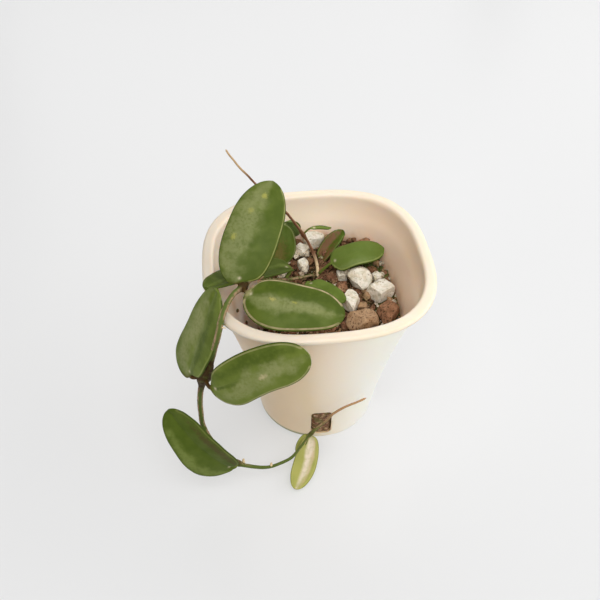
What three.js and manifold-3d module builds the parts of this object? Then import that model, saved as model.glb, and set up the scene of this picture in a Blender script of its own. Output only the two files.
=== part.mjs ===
// A small trailing hoya in a cream plastic pot, in millimetres, with +Z up.
// The origin is the centre of the pot's flat underside. The pot's four sides face X and Y.
// Two vines grow from the soil: one climbs over the front left corner of the rim and hangs
// down to the surface, the other is a bare runner that reaches up over the back.

import * as THREE from 'three';
import { mergeVertices } from 'three/addons/utils/BufferGeometryUtils.js';
import Module from 'manifold-3d';

const wasm = await Module();
wasm.setup();

// Pot: a rounded square at the rim that narrows to a round foot, with walls that curve in a little
const POT_HEIGHT = 83;
const RIM_HALF = 45;
const WALL_HALF_TOP = 43;
const FOOT_RADIUS = 25.7;
const RIM_SQUARENESS = 2.76;
const ROUND = 2;
const WALL = 1.6;
const WALL_HOLLOW = 2;
const WALL_LEVELS = [14, 28, 41, 54, 67];
const FLOOR = 1.8;
const BEAD_HEIGHT = 2.6;
const BEAD_WIDTH = 4.4;
const FOOT_CHAMFER = 0.8;
const POT_SIDES = 40;

// Drainage windows: one tall rounded slot at the foot of each side
const WINDOW_WIDTH = 9.2;
const WINDOW_BOTTOM = 3.6;
const WINDOW_TOP = 21.8;
const WINDOW_CORNER = 2;
const WINDOW_REACH = 12;

// Soil, stones and the clearance that touching pieces keep
const GAP = 0.3;
const ROOT_GAP = 0.45;
const SOIL_LEVEL = 57;
const SOIL_BACK_RISE = 6;
const SOIL_FRONT_DROP = 3;
const SOIL_SLUMP = 29;
const SLUMP_EDGE = 14;
const SLUMP_RUN = 10;
const SOIL_RIPPLE = 0.5;
const SOIL_RINGS = 8;
const GRAIN_COUNT = 32;
const GRAIN_SMALL = 1.2;
const GRAIN_LARGE = 2.4;
const GRAIN_SINK = 0.35;
const GRAIN_SEED = 11;
const STONE_FACETS = 8;

// Stems and leaves
const VINE_RADIUS = 0.8;
const VINE_TIP_RADIUS = 0.4;
const NODE_SWELL = 0.45;
const RUNNER_RADIUS = 0.55;
const RUNNER_TIP_RADIUS = 0.35;
const STEM_SIDES = 6;
const PETIOLE_RADIUS = 0.75;
const LEAF_THICKNESS = 1.3;
const LEAF_EDGE = 0.32;
const LEAF_STATIONS = 11;
const PETIOLE_STATIONS = 3;
const BLADE_SPLITS = [-1, -0.62, 0, 0.62, 1];
const MIDRIB_GROOVE = 0.25;
const TIP_WIDTH = 0.12;

// Colours
const CREAM = 0xf0e3cc;
const PEAT = 0x3b2a18;
const PUMICE = 0xece2cf;
const CLAY = 0x93684c;
const STEM_GREEN = 0x5f6a2c;
const RUNNER_BROWN = 0x7a5636;
const LEAF_DARK = 0x46581c;
const LEAF_MID = 0x5f7530;
const LEAF_YOUNG = 0xa3a656;

const vector = (x, y, z) => new THREE.Vector3(x, y, z);
const mix = (from, to, share) => from + (to - from) * share;

/** Rises smoothly from 0 to 1 as value goes from 0 to 1. */
function smooth(value) {
  const held = Math.min(1, Math.max(0, value));
  return held * held * (3 - 2 * held);
}

/** A repeatable number from 0 to 1 for a seed and a count. */
function draw(seed, count) {
  const wave = Math.sin(seed * 78.233 + count * 12.9898) * 43758.5453;
  return wave - Math.floor(wave);
}

/** Closed body through rings of points; every ring has the same number of points. */
function loft(rings) {
  const count = rings[0].length;
  const positions = rings.flat().flatMap((point) => [point.x, point.y, point.z]);
  const faces = [];
  for (let row = 0; row + 1 < rings.length; row += 1) {
    for (let side = 0; side < count; side += 1) {
      const next = (side + 1) % count;
      const low = row * count;
      const high = low + count;
      faces.push(low + side, low + next, high + next, low + side, high + next, high + side);
    }
  }
  for (const [row, flip] of [[0, true], [rings.length - 1, false]]) {
    const centre = rings[row].reduce((sum, point) => sum.add(point), vector(0, 0, 0));
    centre.divideScalar(count);
    const hub = positions.length / 3;
    positions.push(centre.x, centre.y, centre.z);
    for (let side = 0; side < count; side += 1) {
      const here = row * count + side;
      const next = row * count + ((side + 1) % count);
      faces.push(hub, flip ? next : here, flip ? here : next);
    }
  }
  return outward(new Float32Array(positions), new Uint32Array(faces));
}

/** Turns the faces over if they point inwards. */
function outward(positions, faces) {
  let volume = 0;
  const corner = [vector(0, 0, 0), vector(0, 0, 0), vector(0, 0, 0)];
  for (let first = 0; first < faces.length; first += 3) {
    corner.forEach((point, slot) => point.fromArray(positions, faces[first + slot] * 3));
    volume += corner[0].dot(corner[1].clone().cross(corner[2]));
  }
  if (volume < 0) {
    for (let first = 0; first < faces.length; first += 3) {
      [faces[first], faces[first + 1]] = [faces[first + 1], faces[first]];
    }
  }
  const geometry = new THREE.BufferGeometry();
  geometry.setAttribute('position', new THREE.BufferAttribute(positions, 3));
  geometry.setIndex(new THREE.BufferAttribute(faces, 1));
  return geometry;
}

/** A geometry as a solid that can be joined and cut. */
function toSolid(geometry) {
  const bare = geometry.clone();
  bare.deleteAttribute('normal');
  bare.deleteAttribute('uv');
  const merged = mergeVertices(bare, 1e-4);
  return new wasm.Manifold(new wasm.Mesh({
    numProp: 3,
    vertProperties: new Float32Array(merged.attributes.position.array),
    triVerts: new Uint32Array(merged.index.array),
  }));
}

/** The largest body of a solid as a geometry. */
function toGeometry(solid) {
  const bodies = solid.decompose();
  bodies.sort((one, two) => two.volume() - one.volume());
  const mesh = bodies[0].getMesh();
  const geometry = new THREE.BufferGeometry();
  geometry.setAttribute('position', new THREE.BufferAttribute(mesh.vertProperties, 3));
  geometry.setIndex(new THREE.BufferAttribute(mesh.triVerts, 1));
  return geometry;
}

/** Unit direction at an angle on a superellipse of the given squareness. */
function rimPoint(angle, squareness) {
  const x = Math.cos(angle);
  const y = Math.sin(angle);
  const size = (Math.abs(x) ** squareness + Math.abs(y) ** squareness) ** (1 / squareness);
  return [x / size, y / size];
}

/** Squareness of the pot's section at a height. */
const squarenessAt = (z) => mix(ROUND, RIM_SQUARENESS, Math.min(1, Math.max(0, z / POT_HEIGHT)));

/** Half width of the outside of the pot's wall at a height: a slope that is drawn in half way up. */
function wallAt(z) {
  const share = z / POT_HEIGHT;
  return mix(FOOT_RADIUS, WALL_HALF_TOP, share) - WALL_HOLLOW * 4 * share * (1 - share);
}

/** A level ring of the pot's section. */
function potRing(half, z) {
  return Array.from({ length: POT_SIDES }, (_, side) => {
    const [x, y] = rimPoint((side / POT_SIDES) * 2 * Math.PI, squarenessAt(z));
    return vector(half * x, half * y, z);
  });
}

/** The window's outline, as a cutter that runs out through the wall on +X. */
function windowCutter() {
  const left = -WINDOW_WIDTH / 2;
  const right = WINDOW_WIDTH / 2;
  const shape = new THREE.Shape();
  shape.moveTo(left + WINDOW_CORNER, WINDOW_BOTTOM);
  shape.lineTo(right - WINDOW_CORNER, WINDOW_BOTTOM);
  shape.quadraticCurveTo(right, WINDOW_BOTTOM, right, WINDOW_BOTTOM + WINDOW_CORNER);
  shape.lineTo(right, WINDOW_TOP - WINDOW_CORNER);
  shape.quadraticCurveTo(right, WINDOW_TOP, right - WINDOW_CORNER, WINDOW_TOP);
  shape.lineTo(left + WINDOW_CORNER, WINDOW_TOP);
  shape.quadraticCurveTo(left, WINDOW_TOP, left, WINDOW_TOP - WINDOW_CORNER);
  shape.lineTo(left, WINDOW_BOTTOM + WINDOW_CORNER);
  shape.quadraticCurveTo(left, WINDOW_BOTTOM, left + WINDOW_CORNER, WINDOW_BOTTOM);
  const block = new THREE.ExtrudeGeometry(shape, {
    depth: WINDOW_REACH, bevelEnabled: false, curveSegments: 3,
  });
  block.rotateX(Math.PI / 2);
  block.rotateZ(Math.PI / 2);
  block.translate(FOOT_RADIUS - WINDOW_REACH / 3, 0, 0);
  return toSolid(block);
}

/** Rings of the pot's inside, drawn in from the wall by a clearance and up from a height. */
function cavityRings(clearance, bottom) {
  const inside = [
    [FOOT_RADIUS - WALL, bottom],
    ...[...WALL_LEVELS, POT_HEIGHT - BEAD_HEIGHT].map((z) => [wallAt(z) - WALL, z]),
  ];
  return inside.map(([half, z]) => potRing(half - clearance, z));
}

/** The pot: a thin wall with a rolled bead at the rim and four windows at the foot. */
function potGeometry() {
  const under = POT_HEIGHT - BEAD_HEIGHT;
  const outside = [
    [FOOT_RADIUS - FOOT_CHAMFER, 0], [wallAt(FOOT_CHAMFER), FOOT_CHAMFER],
    ...WALL_LEVELS.map((z) => [wallAt(z), z]), [wallAt(under), under], [RIM_HALF - 0.5, under + 0.3],
    [RIM_HALF, under + 0.9], [RIM_HALF - 0.1, POT_HEIGHT - 0.9],
    [RIM_HALF - 0.8, POT_HEIGHT - 0.25], [RIM_HALF - 1.8, POT_HEIGHT],
  ];
  const inner = RIM_HALF - BEAD_WIDTH;
  const lip = [
    [inner, POT_HEIGHT - 0.9], [inner + 0.4, POT_HEIGHT - 0.3], [inner + 1.1, POT_HEIGHT + 0.01],
    [inner + 1.1, POT_HEIGHT + 1],
  ];
  const hollow = [...cavityRings(0, FLOOR), ...lip.map(([half, z]) => potRing(half, z))];
  let shell = toSolid(loft(outside.map(([half, z]) => potRing(half, z))));
  shell = shell.subtract(toSolid(loft(hollow)));
  const cutter = windowCutter();
  for (let side = 0; side < 4; side += 1) {
    shell = shell.subtract(cutter.rotate([0, 0, side * 90]));
  }
  return toGeometry(shell);
}

/** Height of the soil's surface: banked up behind, slumped away along the left wall. */
function soilHeight(x, y) {
  const rise = SOIL_BACK_RISE * smooth((y - 5) / 30);
  const drop = SOIL_FRONT_DROP * smooth((-y - 5) / 25);
  const slump = SOIL_SLUMP * smooth((-x - SLUMP_EDGE) / SLUMP_RUN);
  const ripple = SOIL_RIPPLE * (Math.sin(x * 0.9 + y * 0.4) + Math.sin(y * 0.8 - x * 0.3));
  return SOIL_LEVEL + rise - drop - slump + ripple;
}

/** A faceted stone: a ball flattened by a few seeded planes. */
function stoneGeometry({ at, size, seed }, grow = 0, detail = 1) {
  const ball = new THREE.IcosahedronGeometry(1, detail);
  const planes = Array.from({ length: STONE_FACETS }, (_, facet) => {
    const tilt = mix(-1, 1, draw(seed, facet * 3 + 1));
    const turn = draw(seed, facet * 3 + 2) * 2 * Math.PI;
    const flat = Math.sqrt(1 - tilt * tilt);
    const reach = mix(0.6, 0.92, draw(seed, facet * 3 + 3));
    return { normal: vector(flat * Math.cos(turn), flat * Math.sin(turn), tilt), reach };
  });
  const position = ball.attributes.position;
  const point = vector(0, 0, 0);
  for (let index = 0; index < position.count; index += 1) {
    point.fromBufferAttribute(position, index).normalize();
    let radius = 1;
    for (const { normal, reach } of planes) {
      const facing = point.dot(normal);
      if (facing > 0) {
        radius = Math.min(radius, reach / facing);
      }
    }
    position.setXYZ(
      index,
      at[0] + point.x * (size[0] * radius + grow),
      at[1] + point.y * (size[1] * radius + grow),
      at[2] + point.z * (size[2] * radius + grow),
    );
  }
  return ball;
}

/** Grains of the mix, seeded over the surface and sunk into it. */
function grainSolids() {
  const grains = [];
  for (let count = 0; count < GRAIN_COUNT; count += 1) {
    const reach = 0.86 * Math.sqrt(draw(GRAIN_SEED, count * 4 + 1));
    const angle = draw(GRAIN_SEED, count * 4 + 2) * 2 * Math.PI;
    const radius = mix(GRAIN_SMALL, GRAIN_LARGE, draw(GRAIN_SEED, count * 4 + 3));
    const half = (wallAt(SOIL_LEVEL) - WALL - GAP - GRAIN_LARGE) * reach;
    const [dx, dy] = rimPoint(angle, squarenessAt(SOIL_LEVEL));
    const x = half * dx;
    const y = half * dy;
    const z = soilHeight(x, y) + radius * GRAIN_SINK;
    const seed = GRAIN_SEED + count;
    grains.push(toSolid(stoneGeometry({ at: [x, y, z], size: [radius, radius, radius], seed }, 0, 0)));
  }
  return grains;
}

/** The ground under the surface, wider than the pot, as one body. */
function groundSolid() {
  const reach = WALL_HALF_TOP;
  const surface = (share) => Array.from({ length: POT_SIDES }, (_, side) => {
    const [dx, dy] = rimPoint((side / POT_SIDES) * 2 * Math.PI, squarenessAt(SOIL_LEVEL));
    const x = reach * share * dx;
    const y = reach * share * dy;
    return vector(x, y, soilHeight(x, y));
  });
  const rings = [surface(1).map(({ x, y }) => vector(x, y, 0))];
  for (let ring = 0; ring < SOIL_RINGS; ring += 1) {
    rings.push(surface(1 - ring / SOIL_RINGS));
  }
  return toSolid(loft(rings));
}

/** The soil inside the pot, with its grains, and with a socket for each stone and stem. */
function soilGeometry(stones, stems) {
  let soil = groundSolid();
  for (const grain of grainSolids()) {
    soil = soil.add(grain);
  }
  soil = soil.intersect(toSolid(loft(cavityRings(GAP, FLOOR + GAP))));
  for (const stone of stones) {
    soil = soil.subtract(toSolid(stoneGeometry(stone, GAP)));
  }
  for (const stem of stems) {
    soil = soil.subtract(stem);
  }
  return toGeometry(soil);
}

/** A round stem along a list of points, with its own radius at each station. */
function stemGeometry(points, radiusAt, stations) {
  const path = new THREE.CatmullRomCurve3(points.map((point) => vector(...point)), false, 'centripetal');
  const frames = path.computeFrenetFrames(stations, false);
  const rings = [];
  for (let station = 0; station <= stations; station += 1) {
    const share = station / stations;
    const centre = path.getPointAt(share);
    const radius = radiusAt(share, centre);
    rings.push(Array.from({ length: STEM_SIDES }, (_, side) => {
      const angle = (side / STEM_SIDES) * 2 * Math.PI;
      return centre.clone()
        .addScaledVector(frames.normals[station], Math.cos(angle) * radius)
        .addScaledVector(frames.binormals[station], Math.sin(angle) * radius);
    }));
  }
  return loft(rings);
}

/** Radius of a tapered stem that swells at each of its joints. */
function swollen(joints, thick, thin, swell) {
  return (share, centre) => joints.reduce((radius, joint) => {
    const near = centre.distanceTo(vector(...joint)) / (thick * 2.2);
    return radius + swell * Math.exp(-near * near);
  }, mix(thick, thin, share ** 3));
}

/** Half width of a blade at a share of its length: oblong, round at the tip. */
function bladeWidth(share, width, roundness) {
  const along = Math.abs(2 * share - 1) ** roundness;
  return (width / 2) * Math.sqrt(Math.max(0, 1 - along));
}

/** The list of points with its first one drawn back, away from the second. */
function drawnBack(points, distance) {
  const step = vector(...points[0]).sub(vector(...points[1])).setLength(distance);
  return [vector(...points[0]).add(step).toArray(), ...points.slice(1)];
}

/** One leaf: a short petiole that opens into a thick oblong blade with a grooved midrib. */
function leafGeometry(leaf, grow = 0) {
  const { points, faces, width, fold = 0, roundness = 2.5, petiole = 1 } = leaf;
  const [attach, base, mid, tip] = points.map((point) => vector(...point));
  const path = new THREE.CatmullRomCurve3([attach, base, mid, tip], false, 'centripetal');
  const rings = [];
  const sections = [];
  for (let station = 0; station < PETIOLE_STATIONS; station += 1) {
    sections.push({ at: station / PETIOLE_STATIONS / 3, share: 0 });
  }
  for (let station = 0; station <= LEAF_STATIONS; station += 1) {
    const eased = (1 - Math.cos((station / LEAF_STATIONS) * Math.PI)) / 2;
    const share = mix(station / LEAF_STATIONS, eased, 0.6);
    sections.push({ at: (1 + 2 * share) / 3, share });
  }
  const stalk = PETIOLE_RADIUS * petiole;
  for (const { at, share } of sections) {
    const centre = path.getPoint(at);
    const tangent = path.getTangent(at);
    const side = tangent.clone().cross(vector(...faces)).normalize();
    const up = side.clone().cross(tangent).normalize();
    const blade = bladeWidth(share, width, roundness);
    const half = Math.max(stalk * (1 - share), TIP_WIDTH * width * share, blade) + grow;
    const open = smooth((half - stalk - grow) / (width / 4));
    const middle = mix(stalk, LEAF_THICKNESS / 2, open) + grow;
    const edge = mix(stalk * 0.35, LEAF_EDGE, open) + grow;
    const rise = (across) => open * (fold * half * Math.abs(across) ** 1.4
      - MIDRIB_GROOVE * (across === 0 ? 1 : 0));
    const thick = (across) => mix(edge, middle, Math.sqrt(1 - across * across));
    const place = (across, lift) => centre.clone()
      .addScaledVector(side, across * half)
      .addScaledVector(up, rise(across) + lift * thick(across));
    rings.push([
      ...BLADE_SPLITS.map((across) => place(across, 1)),
      ...BLADE_SPLITS.toReversed().map((across) => place(across, -1)),
    ]);
  }
  return loft(rings);
}

// Places of the joints on the trailing vine, from the crown to the far tip
const JOINT_HIDDEN = [-12.5, 4.7, 68];
const JOINT_RIM = [-29.8, -17.2, 86];
const JOINT_HANGING = [-47, -35.4, 59];
const JOINT_LOW = [-37.7, -43.7, 12.5];
const JOINT_YOUNG = [-6, -32.1, 12];
const JOINT_RUNNER = [-2.7, 25.5, 74];

const VINE_POINTS = [
  [3.4, 21.5, 50], [1.4, 17.5, 57.5], [-5.7, 11.1, 62.6], JOINT_HIDDEN, [-19, -2.4, 75.4],
  [-25.3, -9.4, 83], JOINT_RIM, [-33.6, -23, 88], [-36.8, -29.2, 87.4], [-38.6, -33.4, 85],
  [-40, -36, 81], [-41.5, -35.8, 75.5], [-43.2, -35.4, 69], JOINT_HANGING, [-48.8, -35.2, 52],
  [-49.9, -35.3, 45], [-50.2, -36.2, 38], [-50.1, -36.8, 31], [-47.3, -39.1, 23],
  [-42.6, -41.3, 17], JOINT_LOW, [-32.1, -43.7, 9], [-25.5, -43.4, 7], [-19.9, -42, 7],
  [-15.1, -40.3, 8], [-10.8, -36.6, 10], JOINT_YOUNG, [-2.8, -30.7, 14.2], [0.8, -31.4, 19.4],
  [3.1, -32.3, 24.4], [7.9, -32.5, 28.6], [13.5, -31.2, 29.6], [17.2, -29.5, 29.4],
];
const RUNNER_POINTS = [
  [2.6, 25, 50], [3, 23.6, 57], [2.6, 23.6, 61], [1.4, 25.6, 65], [-0.6, 25.8, 70], JOINT_RUNNER,
  [-5.3, 25.3, 79], [-10, 26.6, 86], [-16.8, 26.5, 94], [-21.5, 27.6, 100], [-24.8, 28.9, 104],
  [-27.2, 29.9, 106.5], [-29.5, 32.1, 109], [-31.1, 33.1, 111], [-32.2, 34.5, 112.5],
];

// Leaves: points run from the stem to the blade's base, its middle and its tip
const LEAVES = [
  {
    name: 'leaf_upper', tint: LEAF_DARK, width: 19.6, fold: -0.1, roundness: 2.4,
    points: [JOINT_RIM, [-31, -14.3, 88], [-24, -0.6, 99.7], [-15.1, 16.6, 108.2]],
    faces: [-0.07, -0.72, 0.69],
  },
  {
    name: 'leaf_rim', tint: LEAF_DARK, width: 19, fold: -0.1,
    points: [JOINT_RIM, [-28.6, -22.6, 88.2], [-12, -31, 88.6], [5.5, -35.1, 84.6]],
    faces: [-0.03, -0.41, 0.91],
  },
  {
    name: 'leaf_left', tint: LEAF_DARK, width: 18, fold: 0.3,
    points: [JOINT_HANGING, [-50.8, -33, 57.2], [-46.2, -27.4, 75], [-39.2, -22.8, 91]],
    faces: [-0.785, -0.4, 0.47],
  },
  {
    name: 'leaf_behind', tint: LEAF_DARK, width: 15, fold: 0.3,
    points: [JOINT_HIDDEN, [-9.9, 7.6, 71.2], [-27.5, -1.8, 77.4], [-43.3, -19, 88.2]],
    faces: [-0.1, 0.1, 0.98],
  },
  {
    name: 'leaf_front', tint: LEAF_DARK, width: 18.5, fold: -0.08,
    points: [JOINT_HANGING, [-44.3, -42.4, 60], [-25.8, -47.4, 72], [-8.6, -48.6, 80]],
    faces: [-0.1, -0.9, 0.42],
  },
  {
    name: 'leaf_low', tint: LEAF_DARK, width: 18, fold: 0.16,
    points: [JOINT_LOW, [-39.8, -46.6, 14], [-52.6, -45.2, 29.4], [-62.6, -36.8, 42.6]],
    faces: [-0.62, -0.42, 0.66],
  },
  {
    name: 'leaf_young', tint: LEAF_YOUNG, width: 9.6, fold: 0.15, roundness: 2.2, petiole: 0.7,
    points: [JOINT_YOUNG, [-6, -34.4, 9.8], [-10, -42.8, 5.4], [-15.1, -52.4, 2.6]],
    faces: [0.1, -0.4, 0.9],
  },
  {
    name: 'leaf_young_twin', tint: LEAF_YOUNG, width: 5.4, fold: 0.4, roundness: 2.2, petiole: 0.6,
    points: [JOINT_YOUNG, [-8.6, -31.4, 10], [-12.8, -35.6, 6.4], [-16.4, -41, 3.4]],
    faces: [-0.85, -0.1, 0.5],
  },
  {
    name: 'leaf_crown_tall', rooted: true, tint: LEAF_MID, width: 14, fold: 0.1,
    points: [[-10, 18.6, 54], [-12.2, 20.9, 61], [-12.3, 24.5, 70], [-12.6, 28.2, 79]],
    faces: [0.4, -0.7, 0.6],
  },
  {
    name: 'leaf_crown_back', rooted: true, tint: LEAF_MID, width: 10, fold: 0.1,
    points: [[-6.8, 32, 58], [-7.6, 31.4, 66], [-7.2, 30.8, 72], [-6.9, 30.4, 78]],
    faces: [0.1, -0.8, 0.6],
  },
  {
    name: 'leaf_crown_narrow', rooted: true, tint: LEAF_MID, width: 9.6, fold: 0.35, petiole: 0.8,
    points: [[5.2, 25.6, 54], [4.6, 24.6, 59.8], [9.2, 27.6, 66], [15.2, 31, 70.4]],
    faces: [-0.5, -0.5, 0.7],
  },
  {
    name: 'leaf_crown_flat', rooted: true, tint: LEAF_MID, width: 12.6, fold: -0.06, petiole: 0.8,
    points: [[5.8, 19.6, 54], [8.4, 17, 64.2], [19.7, 16.8, 70.2], [31, 17.8, 69]],
    faces: [0, -0.3, 0.95],
  },
  {
    name: 'leaf_crown_low', rooted: true, tint: LEAF_MID, width: 8.8, fold: 0.05, petiole: 0.8,
    points: [[0.4, 14.2, 53], [-2.4, 9.4, 64.4], [3.8, 3.4, 65.4], [11.1, -4, 64.6]],
    faces: [0.2, -0.2, 0.95],
  },
  {
    name: 'leaf_bud', tint: LEAF_MID, width: 1.9, fold: 0, roundness: 2.5, petiole: 0.5,
    points: [JOINT_RUNNER, [0.2, 25.5, 77], [5, 26.8, 76.4], [9.6, 27.2, 75]],
    faces: [0, -0.3, 0.95],
  },
];

// Loose stones on the soil: white pumice and brown baked clay, as half sizes and centres
const PUMICE_STONES = [
  { at: [19.3, 9.6, 60.6], size: [5, 4.8, 4.6], seed: 21 },
  { at: [26.9, 1.2, 60], size: [5.4, 4.2, 4.2], seed: 22 },
  { at: [13.8, -2.4, 59.4], size: [3.8, 4.8, 4], seed: 23 },
  { at: [2.4, 32.3, 65], size: [5, 3, 4.4], seed: 24 },
  { at: [-3, 28.6, 63], size: [3, 2.6, 2.8], seed: 25 },
  { at: [-3.2, 21, 60.6], size: [2.6, 3, 2.8], seed: 26 },
  { at: [12.6, 14.2, 59], size: [2.6, 2.4, 2.4], seed: 27 },
  { at: [27.4, 11.6, 58.6], size: [2.4, 2.4, 2.4], seed: 28 },
  { at: [-8, -8, 57], size: [3.6, 3.2, 3.2], seed: 29 },
];
const CLAY_STONES = [
  { at: [17.2, -12, 57.4], size: [6, 5, 4.4], seed: 41 },
  { at: [28.2, -8.6, 57.2], size: [4.8, 4.8, 4.8], seed: 42 },
  { at: [22.6, 25.8, 65], size: [5, 3.2, 3.6], seed: 43 },
  { at: [11.4, 6.6, 58], size: [2.6, 2.6, 2.6], seed: 44 },
  { at: [15.4, 22.4, 61.4], size: [3, 2.6, 2.6], seed: 45 },
  { at: [3.6, -11, 56.6], size: [4.4, 3.8, 3.6], seed: 46 },
];

/** A named mesh of one colour. */
function piece(name, geometry, colour, roughness) {
  geometry.computeVertexNormals();
  const material = new THREE.MeshStandardMaterial({ color: colour, roughness, metalness: 0 });
  const mesh = new THREE.Mesh(geometry, material);
  mesh.name = name;
  return mesh;
}

const potted = new THREE.Group();

const vineJoints = [JOINT_HIDDEN, JOINT_RIM, JOINT_HANGING, JOINT_LOW, JOINT_YOUNG];
const stems = [
  {
    name: 'vine', points: VINE_POINTS, stations: 76, tint: STEM_GREEN,
    radius: swollen(vineJoints, VINE_RADIUS, VINE_TIP_RADIUS, NODE_SWELL),
  },
  {
    name: 'runner', points: RUNNER_POINTS, stations: 32, tint: RUNNER_BROWN,
    radius: swollen([JOINT_RUNNER], RUNNER_RADIUS, RUNNER_TIP_RADIUS, NODE_SWELL),
  },
];
const sleeves = stems.map(({ points, radius, stations }) => (
  toSolid(stemGeometry(drawnBack(points, GAP), (share, at) => radius(share, at) + GAP, stations))
));
const petioleHoles = LEAVES.filter(({ rooted }) => rooted).map((leaf) => (
  toSolid(leafGeometry({ ...leaf, points: drawnBack(leaf.points, GAP) }, ROOT_GAP))
));

potted.add(piece('pot', potGeometry(), CREAM, 0.35));
const sockets = [...sleeves, ...petioleHoles];
potted.add(piece('soil', soilGeometry([...PUMICE_STONES, ...CLAY_STONES], sockets), PEAT, 0.95));
PUMICE_STONES.forEach((stone, index) => {
  potted.add(piece(`pumice_${index + 1}`, stoneGeometry(stone), PUMICE, 0.9));
});
CLAY_STONES.forEach((stone, index) => {
  potted.add(piece(`clay_${index + 1}`, stoneGeometry(stone), CLAY, 0.95));
});
for (const { name, points, radius, stations, tint } of stems) {
  potted.add(piece(name, stemGeometry(points, radius, stations), tint, 0.6));
}
for (const leaf of LEAVES) {
  let blade = toSolid(leafGeometry(leaf));
  for (const sleeve of sleeves) {
    blade = blade.subtract(sleeve);
  }
  potted.add(piece(leaf.name, toGeometry(blade), leaf.tint, 0.45));
}

export default potted;
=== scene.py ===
"""A potted hoya: a trailing plant with thick oval leaves in a small cream plastic pot.

The pot, the potting mix with its stones, the stems and the leaves are built here at their real size around
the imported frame. Sizes are in millimetres until a mesh is made, and every mesh is in metres.
"""

from __future__ import annotations

import logging
import math
from collections.abc import Callable, Iterable, Sequence
from dataclasses import dataclass, field
from enum import Enum

import bmesh
import bpy
import numpy as np
from mathutils import Matrix, Vector, noise

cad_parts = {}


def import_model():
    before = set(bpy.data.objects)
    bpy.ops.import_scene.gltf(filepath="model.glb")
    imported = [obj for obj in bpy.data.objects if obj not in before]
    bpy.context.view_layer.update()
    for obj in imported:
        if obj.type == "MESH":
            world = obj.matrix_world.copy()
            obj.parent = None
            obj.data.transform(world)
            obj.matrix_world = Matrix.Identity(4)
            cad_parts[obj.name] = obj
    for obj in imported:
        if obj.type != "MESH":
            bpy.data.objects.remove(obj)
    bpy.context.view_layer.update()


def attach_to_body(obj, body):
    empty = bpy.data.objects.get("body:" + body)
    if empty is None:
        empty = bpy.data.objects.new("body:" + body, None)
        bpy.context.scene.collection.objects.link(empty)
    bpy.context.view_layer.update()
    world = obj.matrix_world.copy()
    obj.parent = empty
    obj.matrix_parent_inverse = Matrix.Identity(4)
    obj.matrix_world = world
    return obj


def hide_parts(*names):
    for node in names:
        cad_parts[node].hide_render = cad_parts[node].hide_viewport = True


LOG = logging.getLogger("potted_hoya")
MM = 0.001
BODY = "root"
PAINT = {"data_type": "RGBA"}
SMOOTH = {"interpolation_type": "SMOOTHSTEP"}
TIMES = {"operation": "MULTIPLY"}
TIMES_PLUS = {"operation": "MULTIPLY_ADD"}
MATH = "ShaderNodeMath"
MIX = "ShaderNodeMix"
RANGE = "ShaderNodeMapRange"
DRAW_STEPS = (78.233, 12.9898, 43758.5453)
RIPPLE_SHIFT = (7.3, 3.1, 5.7)

Socket = bpy.types.NodeSocket
Tree = bpy.types.NodeTree
Triple = tuple[float, float, float]


class Slot(Enum):
    """The names of the record's material slots."""

    POT = "pot_plastic"
    MIX = "potting_mix"
    PUMICE = "pumice"
    CLAY = "baked_clay"
    VINE = "vine_skin"
    RUNNER = "runner_skin"
    LEAF_DARK = "leaf_dark"
    LEAF_MID = "leaf_mid"
    LEAF_YOUNG = "leaf_young"


# Numbers and curves


def mix(start: float, end: float, share: float) -> float:
    """Blend two numbers by a share from 0 to 1."""
    return start + (end - start) * share


def smooth(share: float) -> float:
    """Ease a share in and out, held between 0 and 1."""
    held = min(1.0, max(0.0, share))
    return held * held * (3 - 2 * held)


def bell(offset: float) -> float:
    """Give the height of a bell curve that is 1 in its middle, at an offset in shares of its reach."""
    return math.exp(-(offset**2))


def turns(sides: int) -> list[float]:
    """Give evenly spaced angles once round, in radians."""
    return [2 * math.pi * step / sides for step in range(sides)]


def draw(seed: int, count: int) -> float:
    """Give the repeatable random number of a seed and a count, from 0 to 1."""
    value = math.sin(seed * DRAW_STEPS[0] + count * DRAW_STEPS[1]) * DRAW_STEPS[2]
    return value - math.floor(value)


def ripple(place: Vector, size: float, seed: float = 0.0) -> float:
    """Give smooth noise at a place, about -1 to 1, in ripples of a size in mm, moved by a seed."""
    return noise.noise(place / size + Vector([seed * shift for shift in RIPPLE_SHIFT]))


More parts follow.
